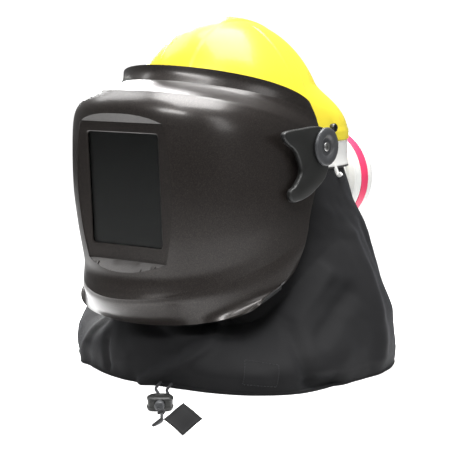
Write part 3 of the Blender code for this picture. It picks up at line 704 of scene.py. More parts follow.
def block(name: str, low: Sequence[float], high: Sequence[float], finish: Finish,
          bevel: float = 1.0,
          segments: int = 3) -> bpy.types.Object:
    """A box with rounded edges.

    Args:
        name: Piece name.
        low: Lowest corner.
        high: Highest corner.
        finish: Its finish.
        bevel: Edge rounding.
        segments: Steps of the rounding.

    Returns:
        The new piece.
    """
    corners = [Vector((x, y, z)) for z in (low[2], high[2])
               for x, y in ((low[0], low[1]), (high[0], low[1]), (high[0], high[1]),
                            (low[0], high[1]))]
    item = build(name, corners,
                 [(3, 2, 1, 0), (4, 5, 6, 7), (0, 1, 5, 4), (1, 2, 6, 5), (2, 3, 7, 6),
                  (3, 0, 4, 7)],
                 finish)
    if bevel:
        bake(modify(item, "BEVEL", width=bevel * MM, segments=segments))
    return item


def tube(name: str, route: Sequence[Vector], radius: float, finish: Finish, count: int = 12,
         closed: bool = False) -> bpy.types.Object:
    """A round tube along a line.

    Args:
        name: Piece name.
        route: Line in millimetres.
        radius: Half width.
        finish: Its finish.
        count: Points round the tube.
        closed: Whether the line is a ring.

    Returns:
        The new piece, with surface coordinates in metres.
    """
    rings, last = [], Vector((0.0, 0.0, 1.0))
    size = len(route)
    for i, place in enumerate(route):
        ahead = route[(i + 1) % size] if closed or i < size - 1 else place
        behind = route[i - 1] if closed or i > 0 else place
        along = (ahead - behind).normalized()
        side = along.cross(last).normalized()
        up = side.cross(along).normalized()
        last = up
        rings.append([place + side * radius * math.cos(math.tau * k / count)
                      + up * radius * math.sin(math.tau * k / count) for k in range(count)])
    item = build(name, *skin(rings, closed), finish, 60.0)
    wrap_cloth(item)
    return item


def wrap_cloth(item: bpy.types.Object) -> None:
    """Gives a piece surface coordinates in metres from its own shape.

    Args:
        item: The piece, whose faces are laid out by their main direction.
    """
    mesh = item.data
    layer = mesh.uv_layers.new(name="cloth") if not mesh.uv_layers else mesh.uv_layers[0]
    for face in mesh.polygons:
        size = [abs(c) for c in face.normal]
        drop = size.index(max(size))
        keep = [k for k in range(3) if k != drop]
        for loop in face.loop_indices:
            place = mesh.vertices[mesh.loops[loop].vertex_index].co
            layer.data[loop].uv = (place[keep[0]], place[keep[1]])


def fit(item: bpy.types.Object, body: Body, slot: str, *replaces: str) -> bpy.types.Object:
    """Rides a piece on its body and reports it.

    Args:
        item: The piece.
        body: Body that it moves with.
        slot: Name of a material slot; not used.
        *replaces: Nodes of the frame that it stands for.

    Returns:
        The piece.
    """
    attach(item, body.value)
    if replaces:
        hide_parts(*replaces)
    LOG.info("%s: %d faces on %s", item.name, len(item.data.polygons) if item.type == "MESH" else 0,
             body.value)
    return item


def dress(finish: Finish, *nodes: str) -> None:
    """Gives carried-over nodes a finish.

    Args:
        finish: The finish.
        *nodes: Node names.
    """
    for node in nodes:
        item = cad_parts[node]
        item.data.materials.clear()
        item.data.materials.append(finish.material())
        LOG.info("%s: %s", node, finish.name)


def cross_screw(name: str, centre: Vector, side: int, head: Sequence[tuple[float, float]],
                wide: float,
                deep: float, finish: Finish) -> bpy.types.Object:
    """A screw head with a cross recess, on an axis along X.

    Args:
        name: Piece name.
        centre: A point on its axis.
        side: 1 or -1.
        head: Profile of distance along X and radius.
        wide: Length of each arm of the cross.
        deep: Depth of the cross below the head's top.
        finish: Its finish.

    Returns:
        The new piece.
    """
    item = turned(name, soft_profile(head, 0.5), centre, Axis.X, finish, side, 40)
    top = head[-1][0]
    for turn in (0, 1):
        half = (wide, 0.55) if turn else (0.55, wide)
        low = sorted((side * (top - deep), side * (top + 2.0)))
        cutter = block("cross", (low[0], centre.y - half[0], centre.z - half[1]),
                       (low[1], centre.y + half[0], centre.z + half[1]), finish, 0)
        combine(item, cutter)
    return item


# ---------------------------------------------------------------- hard hat

@dataclass
class HardHat:
    """Yellow shell with a raised crest, two side ribs and a brim step.

    The plain surface is set in, so that the raised shield passes clear of it.
    """

    x_half: float = 112.0
    front: float = 110.0
    rear: float = 134.0
    rise: float = 142.0
    power_x: float = 1.93
    power_y: float = 2.2
    skirt_power: float = 4.6
    wall: float = 2.6
    brow_rim: float = 55.0
    nape_rim: float = 2.0
    crest_half: float = 23.0
    crest_high: float = 1.2
    rib_high: float = 1.1
    set_in: float = 1.0

    def rim(self, turn: float) -> float:
        """Height of the rim above the pivot, at an angle from the front."""
        return lerp(self.brow_rim, self.nape_rim, smooth((abs(math.degrees(turn)) - 47.0) / 33.0))

    def scale(self, rise: float, height: float, power: float) -> float:
        """Share of the full plan size left at a rise above the pivot."""
        return (1.0 - min(1.0, max(0.0, rise / height)) ** power) ** (1.0 / power)

    def point(self, turn: float, rise: float, inset: float) -> Vector:
        """Point on the shell, or on a surface inset from it.

        Args:
            turn: Angle from the front.
            rise: Height above the pivot.
            inset: Distance inside the outer surface.

        Returns:
            The point in millimetres.
        """
        height = self.rise - inset
        ahead = math.cos(turn) > 0
        reach = (self.front if ahead else self.rear) - inset
        power = 2.0 if ahead else lerp(self.skirt_power, 2.0, smooth((rise - 12.0) / 55.0))
        x, y = plan_point((self.x_half - inset) * self.scale(rise, height, self.power_x),
                          reach * self.scale(rise, height, self.power_y), turn, power)
        return Vector((x, HEAD_Y + y, PIVOT_Z + rise))

    def relief(self, place: Vector, rise: float, rim: float) -> float:
        """How far the moulded relief stands out at a point.

        Args:
            place: Point on the plain shell.
            rise: Its height above the pivot.
            rim: Height of the rim there.

        Returns:
            The distance outwards.
        """
        high = smooth((rise - rim - 22.0) / 26.0)
        crest = smooth((self.crest_half + 1.4 - abs(place.x)) / 2.8) * high * self.crest_high
        along = place.y - HEAD_Y
        rib = smooth((along - 3.0) / 3.0) * smooth((27.0 - along) / 3.0)
        rib *= high * smooth((abs(place.x) - self.crest_half - 8.0) / 16.0) * self.rib_high
        brim = smooth((rim + 13.0 - rise) / 2.2)
        return crest + rib + brim

    def ring(self, share: float, inset: float, count: int) -> Points:
        """One ring of the shell from the rim (0) to the top (1)."""
        points = []
        for i in range(count):
            turn = -math.pi + math.tau * i / count
            rim = self.rim(turn)
            rise = lerp(rim, 0.99985 * (self.rise - inset), math.sin(share * math.pi / 2))
            place = self.point(turn, rise, inset)
            if inset == 0.0:
                out = (place - Vector((0.0, HEAD_Y, PIVOT_Z + 30.0))).normalized()
                place += out * (self.relief(place, rise, rim) - self.set_in)
            points.append(place)
        return points

    def build(self) -> None:
        """Builds the shell and its two screws."""
        count, steps = 320, 84
        rings = [self.ring(1.0 - i / 24, self.wall, count) for i in range(25)]
        rings += [self.ring(i / steps, 0.0, count) for i in range(steps + 1)]
        shell = build("hat_shell", *skin(rings), Look.HAT, 40)
        fit(shell, Body.HELMET, "hat_yellow", "hard_hat_shell")
        for side in Side:
            screw = cross_screw(f"hat_screw_{side.label}", Vector((0.0, HEAD_Y + 61.0, 268.0)),
                                side.value,
                                [(109.0, 4.6), (113.4, 5.2), (114.6, 4.4)], 2.8, 1.0,
                                Look.DARK_STEEL)
            fit(screw, Body.HELMET, "black_plastic", f"shell_screw_{side.label}")


# ---------------------------------------------------------------- welding shield

@dataclass
class Shield:
    """Bulging shell with the recessed window and its lens stack.

    Each station holds the front y and z, the side x, the rear y and z and the plan power of one level.
    """

    stations: tuple[tuple[float, ...], ...] = (
        (-120.0, 341.0, 121.0, 1.0, 299.0, 1.70), (-122.5, 333.5, 122.5, 6.0, 290.0, 1.70),
        (-128.0, 325.0, 123.5, 10.0, 282.0, 1.72), (-140.0, 320.5, 124.5, 12.5, 274.0, 1.85),
        (-165.0, 315.0, 126.5, 15.0, 266.0, 2.30), (-179.0, 303.0, 128.0, 16.0, 257.0, 2.55),
        (-184.5, 286.0, 129.5, 15.0, 246.0, 2.70), (-186.0, 250.0, 131.0, 7.0, 226.0, 2.65),
        (-185.0, 205.0, 133.0, -4.0, 204.0, 2.50), (-183.0, 160.0, 134.0, -12.0, 188.0, 2.25),
        (-179.5, 128.0, 134.3, -15.0, 180.0, 2.10), (-178.5, 112.0, 134.4, -17.0, 174.0, 2.02),
        (-183.0, 101.0, 134.5, -18.5, 168.0, 1.93), (-188.0, 93.5, 134.5, -20.0, 160.0, 1.86),
        (-186.0, 85.5, 134.0, -28.0, 140.0, 1.85), (-176.0, 73.0, 131.0, -48.0, 112.0, 1.84),
        (-160.0, 63.0, 126.0, -92.0, 94.0, 1.88))
    creases: tuple[int, ...] = (2, 4, 13)
    slope_power: float = 2.2
    wall: float = 2.6
    opening: tuple[float, float] = (99.6, 122.0)
    corner: float = 4.0
    plate: tuple[float, float] = (114.3, 133.4)
    window_y: float = -171.7
    window_z: float = 209.0
    tilt: float = math.radians(3.5)
    niche_low: float = -77.0
    niche_high: float = 72.0
    sill_slope: float = 1.17
    head_slope: float = 0.68
    niche_deep: float = 60.0
    step: float = 0.9

    def point(self, station: Sequence[float], turn: float) -> Vector:
        """Point of the outer surface at an angle from the middle of the front."""
        front_y, front_z, side_x, rear_y, rear_z, power = station
        x = side_x * signed_power(math.sin(turn), 2.0 / power)
        y = lerp(rear_y, front_y, abs(math.cos(turn)) ** (2.0 / power))
        back = (abs(turn) / (math.pi / 2)) ** self.slope_power
        return Vector((x, HEAD_Y + y, lerp(front_z, rear_z, back)))

    def levels(self, per_span: int) -> list[tuple[float, ...]]:
        """The stations with smooth ones between them, except at the creases."""
        rows, line = self.stations, []
        for i in range(len(rows) - 1):
            b, c = rows[i], rows[i + 1]
            sharp_b, sharp_c = i == 0 or i in self.creases, i + 2 == len(rows) or i + 1 in self.creases
            a = tuple(2 * p - q for p, q in zip(b, c)) if sharp_b else rows[i - 1]
            d = tuple(2 * q - p for p, q in zip(b, c)) if sharp_c else rows[i + 2]
            for k in range(per_span):
                t = k / per_span
                line.append(tuple(0.5 * (2 * q + (r - p) * t + (2 * p - 5 * q + 4 * r - s) * t * t
                                         + (3 * q - p - 3 * r + s) * t ** 3)
                                  for p, q, r, s in zip(a, b, c, d)))
        line.append(rows[-1])
        return line

    def window_point(self, x: float, depth: float, z: float) -> Vector:
        """Point from the window's own axes; depth runs backwards."""
        return Vector((x, HEAD_Y + self.window_y + depth * math.cos(self.tilt) - z
                       * math.sin(self.tilt),
                       self.window_z + z * math.cos(self.tilt) + depth * math.sin(self.tilt)))

    def window_axes(self, point: Vector) -> tuple[float, float]:
        """Depth and height of a point in the window's own axes."""
        away, up = point.y - HEAD_Y - self.window_y, point.z - self.window_z
        return (away * math.cos(self.tilt) + up * math.sin(self.tilt),
                up * math.cos(self.tilt) - away * math.sin(self.tilt))

    def niche_depth(self, z: float) -> float:
        """Depth of the niche's surface at a height; negative is ahead."""
        return min(0.0, (z - self.niche_low) * self.sill_slope, (self.niche_high - z)
                   * self.head_slope)

    def cut_niche(self, mesh: bpy.types.Mesh) -> None:
        """Cuts the shell along the niche's edges and moves what stands ahead of it back onto it."""
        ahead = Vector((0.0, -math.cos(self.tilt), -math.sin(self.tilt)))
        upward = Vector((0.0, -math.sin(self.tilt), math.cos(self.tilt)))
        work = bmesh.new()
        work.from_mesh(mesh)
        slopes = ((self.niche_low, upward), (self.niche_high, upward), (0.0, ahead),
                  (self.niche_low, upward + ahead / self.sill_slope),
                  (self.niche_high, upward - ahead / self.head_slope))
        floor = self.niche_low - self.niche_deep / 2
        for height, normal in slopes:
            near = [f for f in work.faces if f.calc_center_median().y < (HEAD_Y - 130.0) * MM
                    and self.window_axes(f.calc_center_median() / MM)[1] > floor]
            parts = {e for f in near for e in f.edges} | {v for f in near
                                                          for v in f.verts} | set(near)
            bmesh.ops.bisect_plane(work, geom=list(parts),
                                   plane_co=self.window_point(0.0, 0.0, height) * MM,
                                   plane_no=normal, dist=1e-6)
        for vert in work.verts:
            depth, height = self.window_axes(vert.co / MM)
            back = self.niche_depth(height) - depth
            if 0.0 < back < self.niche_deep and abs(vert.co.x) < 0.09 and height > floor:
                vert.co -= ahead * back * MM
        bmesh.ops.remove_doubles(work, verts=work.verts, dist=4e-4)
        work.to_mesh(mesh)
        work.free()

    def step_niche(self, mesh: bpy.types.Mesh) -> None:
        """Sets the niche back by a small crisp step all round."""
        work = bmesh.new()
        work.from_mesh(mesh)

        def inside(vert: bmesh.types.BMVert) -> bool:
            """Whether a point lies on the niche's surface."""
            place = vert.co / MM
            depth, height = self.window_axes(place)
            return (abs(depth - self.niche_depth(height)) < 0.1 and abs(place.x) < 90.0
                    and place.y < HEAD_Y - 130.0 and height > self.niche_low - self.niche_deep / 2)

        faces = [f for f in work.faces if all(inside(v) for v in f.verts)]
        bmesh.ops.inset_region(work, faces=faces, thickness=0.5 * MM, depth=-self.step * MM,
                               use_boundary=True, use_even_offset=False)
        LOG.info("niche step over %d faces", len(faces))
        work.to_mesh(mesh)
        work.free()

    def opening_outline(self, extra: float) -> list[tuple[float, float]]:
        """Rounded outline of the opening, widened by an extra."""
        half_w, half_h, r = (self.opening[0] + extra) / 2, (self.opening[1]
                                                            + extra) / 2, self.corner
        outline = []
        for quarter, (sx, sz) in enumerate(((1, 1), (-1, 1), (-1, -1), (1, -1))):
            for k in range(7):
                turn = math.pi / 2 * (quarter + k / 6)
                outline.append((sx * (half_w - r) + r * math.cos(turn), sz * (half_h - r) + r
                                * math.sin(turn)))
        return outline

    def shell(self) -> None:
        """Builds the painted shell."""
        columns = 176
        grid = [[self.point(s, lerp(-math.pi / 2, math.pi / 2, i / columns))
                 for i in range(columns + 1)]
                for s in self.levels(7)]
        item = build("shield_shell", *sheet(grid), Look.SHIELD, 24, Look.SHIELD_IN)
        self.cut_niche(item.data)
        modify(item, "SOLIDIFY", thickness=self.wall * MM, offset=-1.0, material_offset=1)
        bake(item, 24)
        self.step_niche(item.data)
        rings = [[self.window_point(x, depth, z) for x, z in self.opening_outline(extra)]
                 for depth, extra in ((-12.0, 2.0), (0.9, 2.0), (1.8, 0.0), (40.0, 0.0))]
        combine(item, build("opening", *skin(rings), Look.SHIELD), sharp=24)
        for side in Side:
            hole = turned("pivot_hole", [(100.0, 8.6), (136.0, 8.6)],
                          Vector((0.0, HEAD_Y, PIVOT_Z)), Axis.X,
                          Look.SHIELD, side.value, 48)
            combine(item, hole, sharp=24)
        fit(item, Body.SHIELD, "shield_paint", "weld_shield")

    def holder(self) -> None:
        """Builds the frame behind the window that carries the lens stack, with four clips."""
        rings = []
        for extra, depth in ((5.0, 2.7), (5.0, 13.4), (1.4, 13.4), (1.4, 2.7)):
            half = ((self.plate[0] + extra) / 2, (self.plate[1] + extra) / 2)
            rings.append([self.window_point(x * half[0], depth, z * half[1])
                          for x, z in ((-1, -1), (1, -1), (1, 1), (-1, 1))])
        fit(build("lens_holder", *skin(rings, True), Look.SHIELD_IN), Body.SHIELD, "shield_paint")
        for i, (x, z) in enumerate(((-1, 0.6), (1, 0.6), (-1, -0.6), (1, -0.6))):
            reach = self.plate[0] / 2
            place = self.window_point(x * (reach + 0.2), 15.2, z * self.plate[1] / 2)
            low, high = place - Vector((5.0, 1.4, 6.0)), place + Vector((5.0, 1.4, 6.0))
            fit(block(f"lens_clip_{i}", low, high, Look.STEEL, 0.8), Body.SHIELD, "steel")

    def build(self) -> None:
        """Builds the shell and holder and dresses the lens stack."""
        self.shell()
        self.holder()
        dress(Look.COVER, "cover_lens")
        dress(Look.LENS, "filter_lens")
        dress(Look.RUBBER, "lens_gasket")
        dress(Look.BLACK, "lens_retainer")


# ---------------------------------------------------------------- pivots

@dataclass
class Pivots:
    """Side arms, tension knobs and their screws."""

    arm_in: float = 134.7
    arm_out: float = 141.0
    hole: float = 8.6
    outline: tuple[tuple[float, float], ...] = (
        (-72.0, 18.5), (-42.0, 21.4), (-11.0, 22.6), (6.0, 18.0), (17.0, 8.0), (19.0, -1.0),
        (12.0, -18.0), (4.0, -34.0), (-10.0, -44.0), (-26.0, -52.0), (-44.0, -56.5),
        (-58.0, -56.0), (-61.0, -45.0), (-51.0, -39.0), (-41.0, -26.0), (-45.0, -12.0),
        (-54.0, -1.0), (-69.0, 8.0))

    def arm(self, side: Side) -> None:
        """Builds one side arm with a rounded edge."""
        line = rounded_path([Vector((0.0, HEAD_Y + y, PIVOT_Z + z)) for y, z in self.outline], 6,
                            True)
        rings = []
        for x, grow in ((self.arm_in, -0.8), (self.arm_in + 0.9, 0.0), (self.arm_out - 1.7, 0.0),
                        (self.arm_out - 0.5, -0.5), (self.arm_out, -1.7)):
            ring = []
            for i, place in enumerate(line):
                ring.append(Vector((side.value * x, place.y, place.z)) + self.outward(line, i)
                            * grow)
            rings.append(ring)
        item = build(f"arm_{side.label}", *skin(rings), Look.BLACK, 50)
        hole = turned("arm_hole", [(100.0, self.hole), (160.0, self.hole)],
                      Vector((0.0, HEAD_Y, PIVOT_Z)), Axis.X,
                      Look.BLACK, side.value, 48)
        fit(combine(item, hole, sharp=50), Body.SHIELD, "black_plastic", f"side_arm_{side.label}")

    @staticmethod
    def outward(line: Points, i: int) -> Vector:
        """Outward direction of a closed outline in the YZ plane at one point."""
        area = sum(a.y * b.z - b.y * a.z for a, b in zip(line, line[1:] + line[:1]))
        along = (line[(i + 1) % len(line)] - line[i - 1]).normalized()
        return Vector((0.0, along.z, -along.y)) * math.copysign(1.0, area)

    def knob(self, side: Side) -> None:
        """Builds one tension knob and its screw."""
        body = Body.KNOB_LEFT if side is Side.LEFT else Body.KNOB_RIGHT
        centre = Vector((0.0, HEAD_Y, PIVOT_Z))
        corners = [(141.4, 3.6), (141.4, 18.5), (142.4, 20.6), (144.3, 21.5), (146.2, 20.4),
                   (147.0, 17.2),
                   (146.7, 13.2), (145.2, 10.8), (143.8, 9.6), (143.8, 3.6)]

        def flutes(turn: float) -> float:
            """Share of the radius left by twelve shallow flutes."""
            return 1.0 - 0.012 * (0.5 + 0.5 * math.cos(12 * turn)) ** 6

        item = turned(f"knob_{side.label}", soft_profile(corners, 2.4, 4), centre, Axis.X,
                      Look.KNOB, side.value, 144,
                      True, flutes, 50)
        fit(item, body, "black_plastic", f"tension_knob_{side.label}")
        screw = cross_screw(f"pivot_screw_{side.label}", centre, side.value,
                            [(141.2, 3.2), (144.2, 3.2), (144.2, 5.2), (145.0, 5.0), (145.6, 3.8)],
                            2.8, 1.0,
                            Look.STEEL)
        fit(screw, body, "steel", f"knob_screw_{side.label}")

    def build(self) -> None:
        """Builds both sides and dresses the posts and washers."""
        for side in Side:
            self.arm(side)
            self.knob(side)
            dress(Look.WHITE, f"pivot_post_{side.label}")
            dress(Look.RUBBER, f"friction_washer_{side.label}")


# ---------------------------------------------------------------- frame and suspension

@dataclass
class HeadFrame:
    """White lower frame, its hook, and the face frame and visor."""

    hat: HardHat
    low: float = 223.0

    def lower_frame(self) -> None:
        """Builds the frame under the rim, with a bead along its foot."""
        steps = 150
        section = ((1.2, 0.0, 0.0), (0.2, 0.0, 1.0), (0.2, 0.0, 4.2), (1.2, 0.0, 5.4),
                   (1.2, 0.5, 0.0),
                   (1.2, 1.0, -0.6), (1.8, 1.0, 0.0), (4.4, 1.0, 0.0), (5.0, 1.0, -0.6),
                   (5.0, 0.5, 0.0),
                   (5.0, 0.0, 0.6), (4.4, 0.0, 0.0))
        rings = []
        for i in range(steps + 1):
            turn = math.radians(lerp(66, 294, i / steps))
            wrapped = turn if turn <= math.pi else turn - math.tau
            top = PIVOT_Z + self.hat.rim(wrapped) - 0.8
            ring = []
            for inset, share, lift in section:
                place = self.hat.point(turn, 0.0, inset)
                place.z = lerp(self.low, top, share) + lift
                ring.append(place)
            rings.append(ring)
        fit(build("frame_rim", *skin(rings), Look.WHITE, 45), Body.HELMET, "white_plastic",
            "lower_frame")
        line = []
        for i in range(121):
            place = self.hat.point(math.radians(lerp(70, 290, i / 120)), 0.0, 1.0)
            place.z = self.low - 0.6
            line.append(place)
        fit(tube("frame_seal", line, 1.1, Look.RUBBER, 8), Body.HELMET, "soft_rubber")

    def hooks(self) -> None:
        """Builds the small hooks that hold the shroud at each side."""
        for side in Side:
            x = 109.0 * side.value
            line = rounded_path([Vector((x, 50.0, 226.0)), Vector((x * 1.02, 50.5, 220.0)),
                                 Vector((x * 1.035, 51.0, 215.5)), Vector((x * 1.06, 51.0, 213.6)),
                                 Vector((x * 1.085, 51.0, 216.0))], 5)
            fit(tube(f"shroud_hook_{side.label}", line, 2.4, Look.WHITE, 12), Body.HELMET,
                "white_plastic")

    def build(self) -> None:
        """Builds the frame pieces and dresses the face frame, visor and duct."""
        self.lower_frame()
        self.hooks()
        dress(Look.BLACK, "face_frame")
        dress(Look.VISOR, "face_visor")
        dress(Look.WHITE, "air_duct")


@dataclass
class Suspension:
    """Crown straps, headband, brow pad, nape pad and ratchet knob."""

    band_x: float = 80.0
    band_y: float = 93.0
    centre_y: float = -12.0
    pad_half: float = 18.4
    pad_thick: float = 1.95
    pad_cells: int = 6

    def strap(self, name: str, front: float, rear: float, rise: float, low: float, along_x: bool,
              node: str) -> None:
        """Builds one woven strap over the head.

        Args:
            name: Piece name.
            front: Reach ahead.
            rear: Reach behind.
            rise: Height above the pivot.
            low: Height of the ends above the pivot.
            along_x: Whether it runs from side to side.
            node: Node that it stands for.
        """
        start = math.asin(low / rise)
        section = [(-9.5, 0.35), (-9.1, 0.0), (-4.0, 0.1), (4.0, 0.1), (9.1, 0.0), (9.5, 0.35),
                   (9.5, 1.15),
                   (9.1, 1.5), (4.0, 1.4), (-4.0, 1.4), (-9.1, 1.5), (-9.5, 1.15)]
        rings = []
        for i in range(73):
            turn = lerp(start, math.pi - start, i / 72)
            ring = []
            for across, depth in section:
                reach = (rear if math.cos(turn) > 0 else front) - depth
                run, z = reach * math.cos(turn), PIVOT_Z + (rise - depth) * math.sin(turn)
                ring.append(Vector((run, HEAD_Y + across, z)) if along_x
                            else Vector((across, HEAD_Y + run, z)))
            rings.append(ring)
        item = build(name, *skin(rings), Look.STRAP, 50)
        wrap_cloth(item)
        fit(item, Body.HELMET, "grey_strap", node)

    def brow_pad(self) -> None:
        """Builds the sewn pad inside the headband."""
        rings = []
        for i in range(97):
            share = i / 96
            turn = math.radians(lerp(-61, 61, share))
            seam = min(abs(share - k / self.pad_cells) for k in range(1, self.pad_cells)) * 220.0
            plump = (1.0 - 0.45 * math.exp(-(seam / 2.2) ** 2)) * min(1.0, 0.35 + 8.0
                                                                      * min(share, 1.0 - share))
            x, y = plan_point(self.band_x - 4.4, self.band_y - 4.4, turn)
            out = Vector((x, y, 0.0)).normalized()
            ring = []
            for k in range(20):
                at = math.tau * k / 20
                half = self.pad_half * min(1.0, 0.8 + 3.0 * min(share, 1.0 - share))
                ring.append(Vector((x, self.centre_y + y, 276.5)) + out * self.pad_thick * plump
                            * signed_power(math.cos(at), 0.6)
                            + Vector((0.0, 0.0, half * signed_power(math.sin(at), 0.7))))
            rings.append(ring)
        item = build("brow_cushion", *skin(rings), Look.FOAM, 60)
        wrap_cloth(item)
        fit(item, Body.HELMET, "soft_rubber", "brow_pad")

    def ratchet(self) -> None:
        """Builds the ratchet knob with its grip teeth."""
        start = self.centre_y + self.band_y + 0.4
        profile = soft_profile([(start, 0.5), (start, 7.0), (start + 4, 7.0), (start + 4, 16.6),
                                (start + 13, 16.0),
                                (start + 14.5, 13.5), (start + 13.4, 11.0), (start + 13.4, 0.5)],
                                0.9)

        def teeth(turn: float) -> float:
            """Share of the radius left between the grip teeth."""
            return 1.0 - 0.06 * (0.5 + 0.5 * math.cos(24 * turn)) ** 2

        item = turned("nape_knob", profile, Vector((0.0, 0.0, 274.0)), Axis.Y, Look.KNOB, 1, 192,
                      teeth=teeth, sharp=45)
        fit(item, Body.RATCHET, "black_plastic", "ratchet_knob")

    def build(self) -> None:
        """Builds the suspension."""
        self.strap("crown_web_long", 97.2, 121.4, 126.4, 26.0, False, "crown_strap_long")
        self.strap("crown_web_cross", 106.0, 106.0, 123.4, 26.0, True, "crown_strap_cross")
        self.brow_pad()
        self.ratchet()
        dress(Look.BLACK, "headband")
        dress(Look.RUBBER, "nape_pad")


# ---------------------------------------------------------------- fan, filter and battery

@dataclass
class FanUnit:
    """Fan housing, round filter, battery and signals behind the head."""

    z: float = 197.0
    radius: float = 56.0
    front: float = 118.6
    split: float = 148.0
    back: float = 160.0
    filter_r: float = 60.0
    filter_front: float = 165.0
    filter_back: float = 211.0

    @property
    def axis(self) -> Vector:
        """A point on the fan's axis."""
        return Vector((0.0, 0.0, self.z))

    def lathe(self, name: str, corners: Sequence[tuple[float, float]], finish: Finish,
              loop: bool = True,
              soften: float = 1.2, teeth: Callable[[float],
                                                   float] | None = None) -> bpy.types.Object:
        """Turns a softened profile about the fan's axis.

        Args:
            name: Piece name.
            corners: Pairs of y and radius.
            finish: Its finish.
            loop: Whether the profile closes on itself.
            soften: Corner rounding.
            teeth: Share of the radius kept at an angle.

        Returns:
            The new piece.
        """
        return turned(name, soft_profile(corners, soften), self.axis, Axis.Y, finish, 1, 180, loop,
                      teeth, 40)

    def housing(self) -> None:
        """Builds the housing and its rear cover, with panel grooves between them."""
        f, s, b, r = self.front, self.split, self.back, self.radius
        shell = self.lathe("fan_housing",
                           [(f, 20), (f, 44), (f + 3, 52), (f + 10, r), (s - 9, r),
                            (s - 9, r - 0.9),
                                           (s - 8, r - 0.9), (s - 8, r), (s, r), (s, r - 2.4),
                                           (f + 10, r - 2.4),
                                           (f + 2.4, 46), (f + 2.4, 20)], Look.GREY, soften=0.4)
        fit(shell, Body.HELMET, "white_plastic", "blower_housing")
        cover = self.lathe("fan_cover",
                           [(s + 0.4, r), (b - 4, r), (b, 51), (b, 24), (b + 8, 24), (b + 8, 20),
                                         (b - 2.4, 20), (b - 2.4, 48), (s + 0.4, r - 2.4)],
                                         Look.WHITE, soften=0.5)
        fit(cover, Body.HELMET, "white_plastic", "blower_cover")
        for i in range(8):
            turn = math.tau * (i + 0.5) / 8
            place = Vector((47.0 * math.cos(turn), 0.0, self.z + 47.0 * math.sin(turn)))
            head = turned(f"cover_screw_{i}",
                          soft_profile([(b - 0.2, 2.4), (b + 0.9, 2.4), (b + 1.3, 1.4)], 0.3),
                          place,
                          Axis.Y, Look.STEEL, 1, 24)
            fit(head, Body.HELMET, "steel")

    def filter(self) -> None:
        """Builds the filter case, band, pleated core and grille."""
        f, b, r = self.filter_front, self.filter_back, self.filter_r
        case = self.lathe("filter_case",
                          [(f, 25), (f, 54), (f + 4, r), (f + 8, r), (f + 8.6, r - 0.7),
                           (f + 9.2, r),
                                          (183, r), (183, 58.6), (198, 58.6), (198, r), (b - 5, r),
                                          (b - 2, 58.4),
                                          (b - 2, 56.2), (f + 4.2, 56.2), (f + 2.2, 52),
                                          (f + 2.2, 25)], Look.WHITE,
                          soften=1.0)
        fit(case, Body.FILTER, "white_plastic", "filter_housing")

        def ribs(turn: float) -> float:
            """Share of the radius left between the band's fine ribs."""
            return 1.0 - 0.004 * (0.5 + 0.5 * math.cos(96 * turn)) ** 2

        band = self.lathe("filter_stripe",
                          [(183.4, 60.4), (197.6, 60.4), (197.6, 58.9), (183.4, 58.9)], Look.PINK,
                          soften=0.4, teeth=ribs)
        fit(band, Body.FILTER, "filter_pink", "filter_band")
        rings = []
        for y, share in ((170.0, 0.97), (171.0, 1.0), (205.0, 1.0), (206.0, 0.97)):
            ring = []
            for i in range(240):
                turn = math.tau * i / 240
                r_here = share * (51.0 if i % 4 in (0, 1) else 46.0)
                ring.append(Vector((r_here * math.cos(turn), y, self.z + r_here * math.sin(turn))))
            rings.append(ring)
        fit(build("pleated_core", *skin(rings), Look.PAPER, 30), Body.FILTER, "filter_paper",
            "filter_core")
        self.grille()

    def grille(self) -> None:
        """Builds the rear grille with three rings of slots."""
        b = self.filter_back
        item = self.lathe("rear_grille",
                          [(208.4, 0.5), (208.4, 55.6), (b - 1, 55.6), (b, 53), (b, 0.5)],
                          Look.WHITE,
                          False, 0.4)
        cutter_points: Points = []
        cutter_faces: Faces = []
        for ring, (near, far,
                   count) in enumerate(((14.0, 24.0, 8), (27.0, 37.0, 14), (40.0, 50.0, 20))):
            for i in range(count):
                turn, half = math.tau * (i + 0.5 * ring) / count, math.tau / count * 0.33
                outline = [(near, turn - half),
                           (far, turn - half)] + [(far, turn + half * (k / 4 - 0.5) * 2)
                                                                       for k in range(1, 4)]
                outline += [(far, turn + half), (near, turn + half)]
                rings = [[Vector((r * math.cos(a), y, self.z + r * math.sin(a))) for r,
                          a in outline]
                         for y in (200.0, 220.0)]
                points, faces = skin(rings)
                cutter_faces += [tuple(k + len(cutter_points) for k in face) for face in faces]
                cutter_points += points
        combine(item, build("slots", cutter_points, cutter_faces, Look.WHITE))
        fit(item, Body.FILTER, "white_plastic", "filter_grille")

    def signals(self) -> None:
        """Builds the status light dome, the power button and their collars."""
        place = Vector((0.0, 139.0, 240.0))
        dome = [(42.6, 5.5), (45.0, 5.5)] + [(45.0 + 3.6 * math.sin(k * math.pi / 14), 5.5
                                              * math.cos(k * math.pi / 14))
                                             for k in range(1, 7)]
        fit(turned("light_dome", dome, place, Axis.X, Look.BLUE, 1, 48), Body.HELMET, "blue_lens",
            "status_light")
        button = soft_profile([(43.6, 5.5), (47.6, 5.5), (48.4, 4.6), (48.0, 3.0), (48.0, 0.4)],
                              0.4)
        fit(turned("switch_cap", button, place, Axis.X, Look.GREEN, -1, 48), Body.POWER,
            "button_green", "power_button")
        for side in Side:
            collar = soft_profile([(38.5, 6.2), (44.6, 6.2), (44.6, 8.0), (38.5, 9.4)], 0.5)
            fit(turned(f"signal_collar_{side.label}", collar, place, Axis.X, Look.WHITE, side.value,
                       48, True),
                Body.HELMET, "white_plastic")

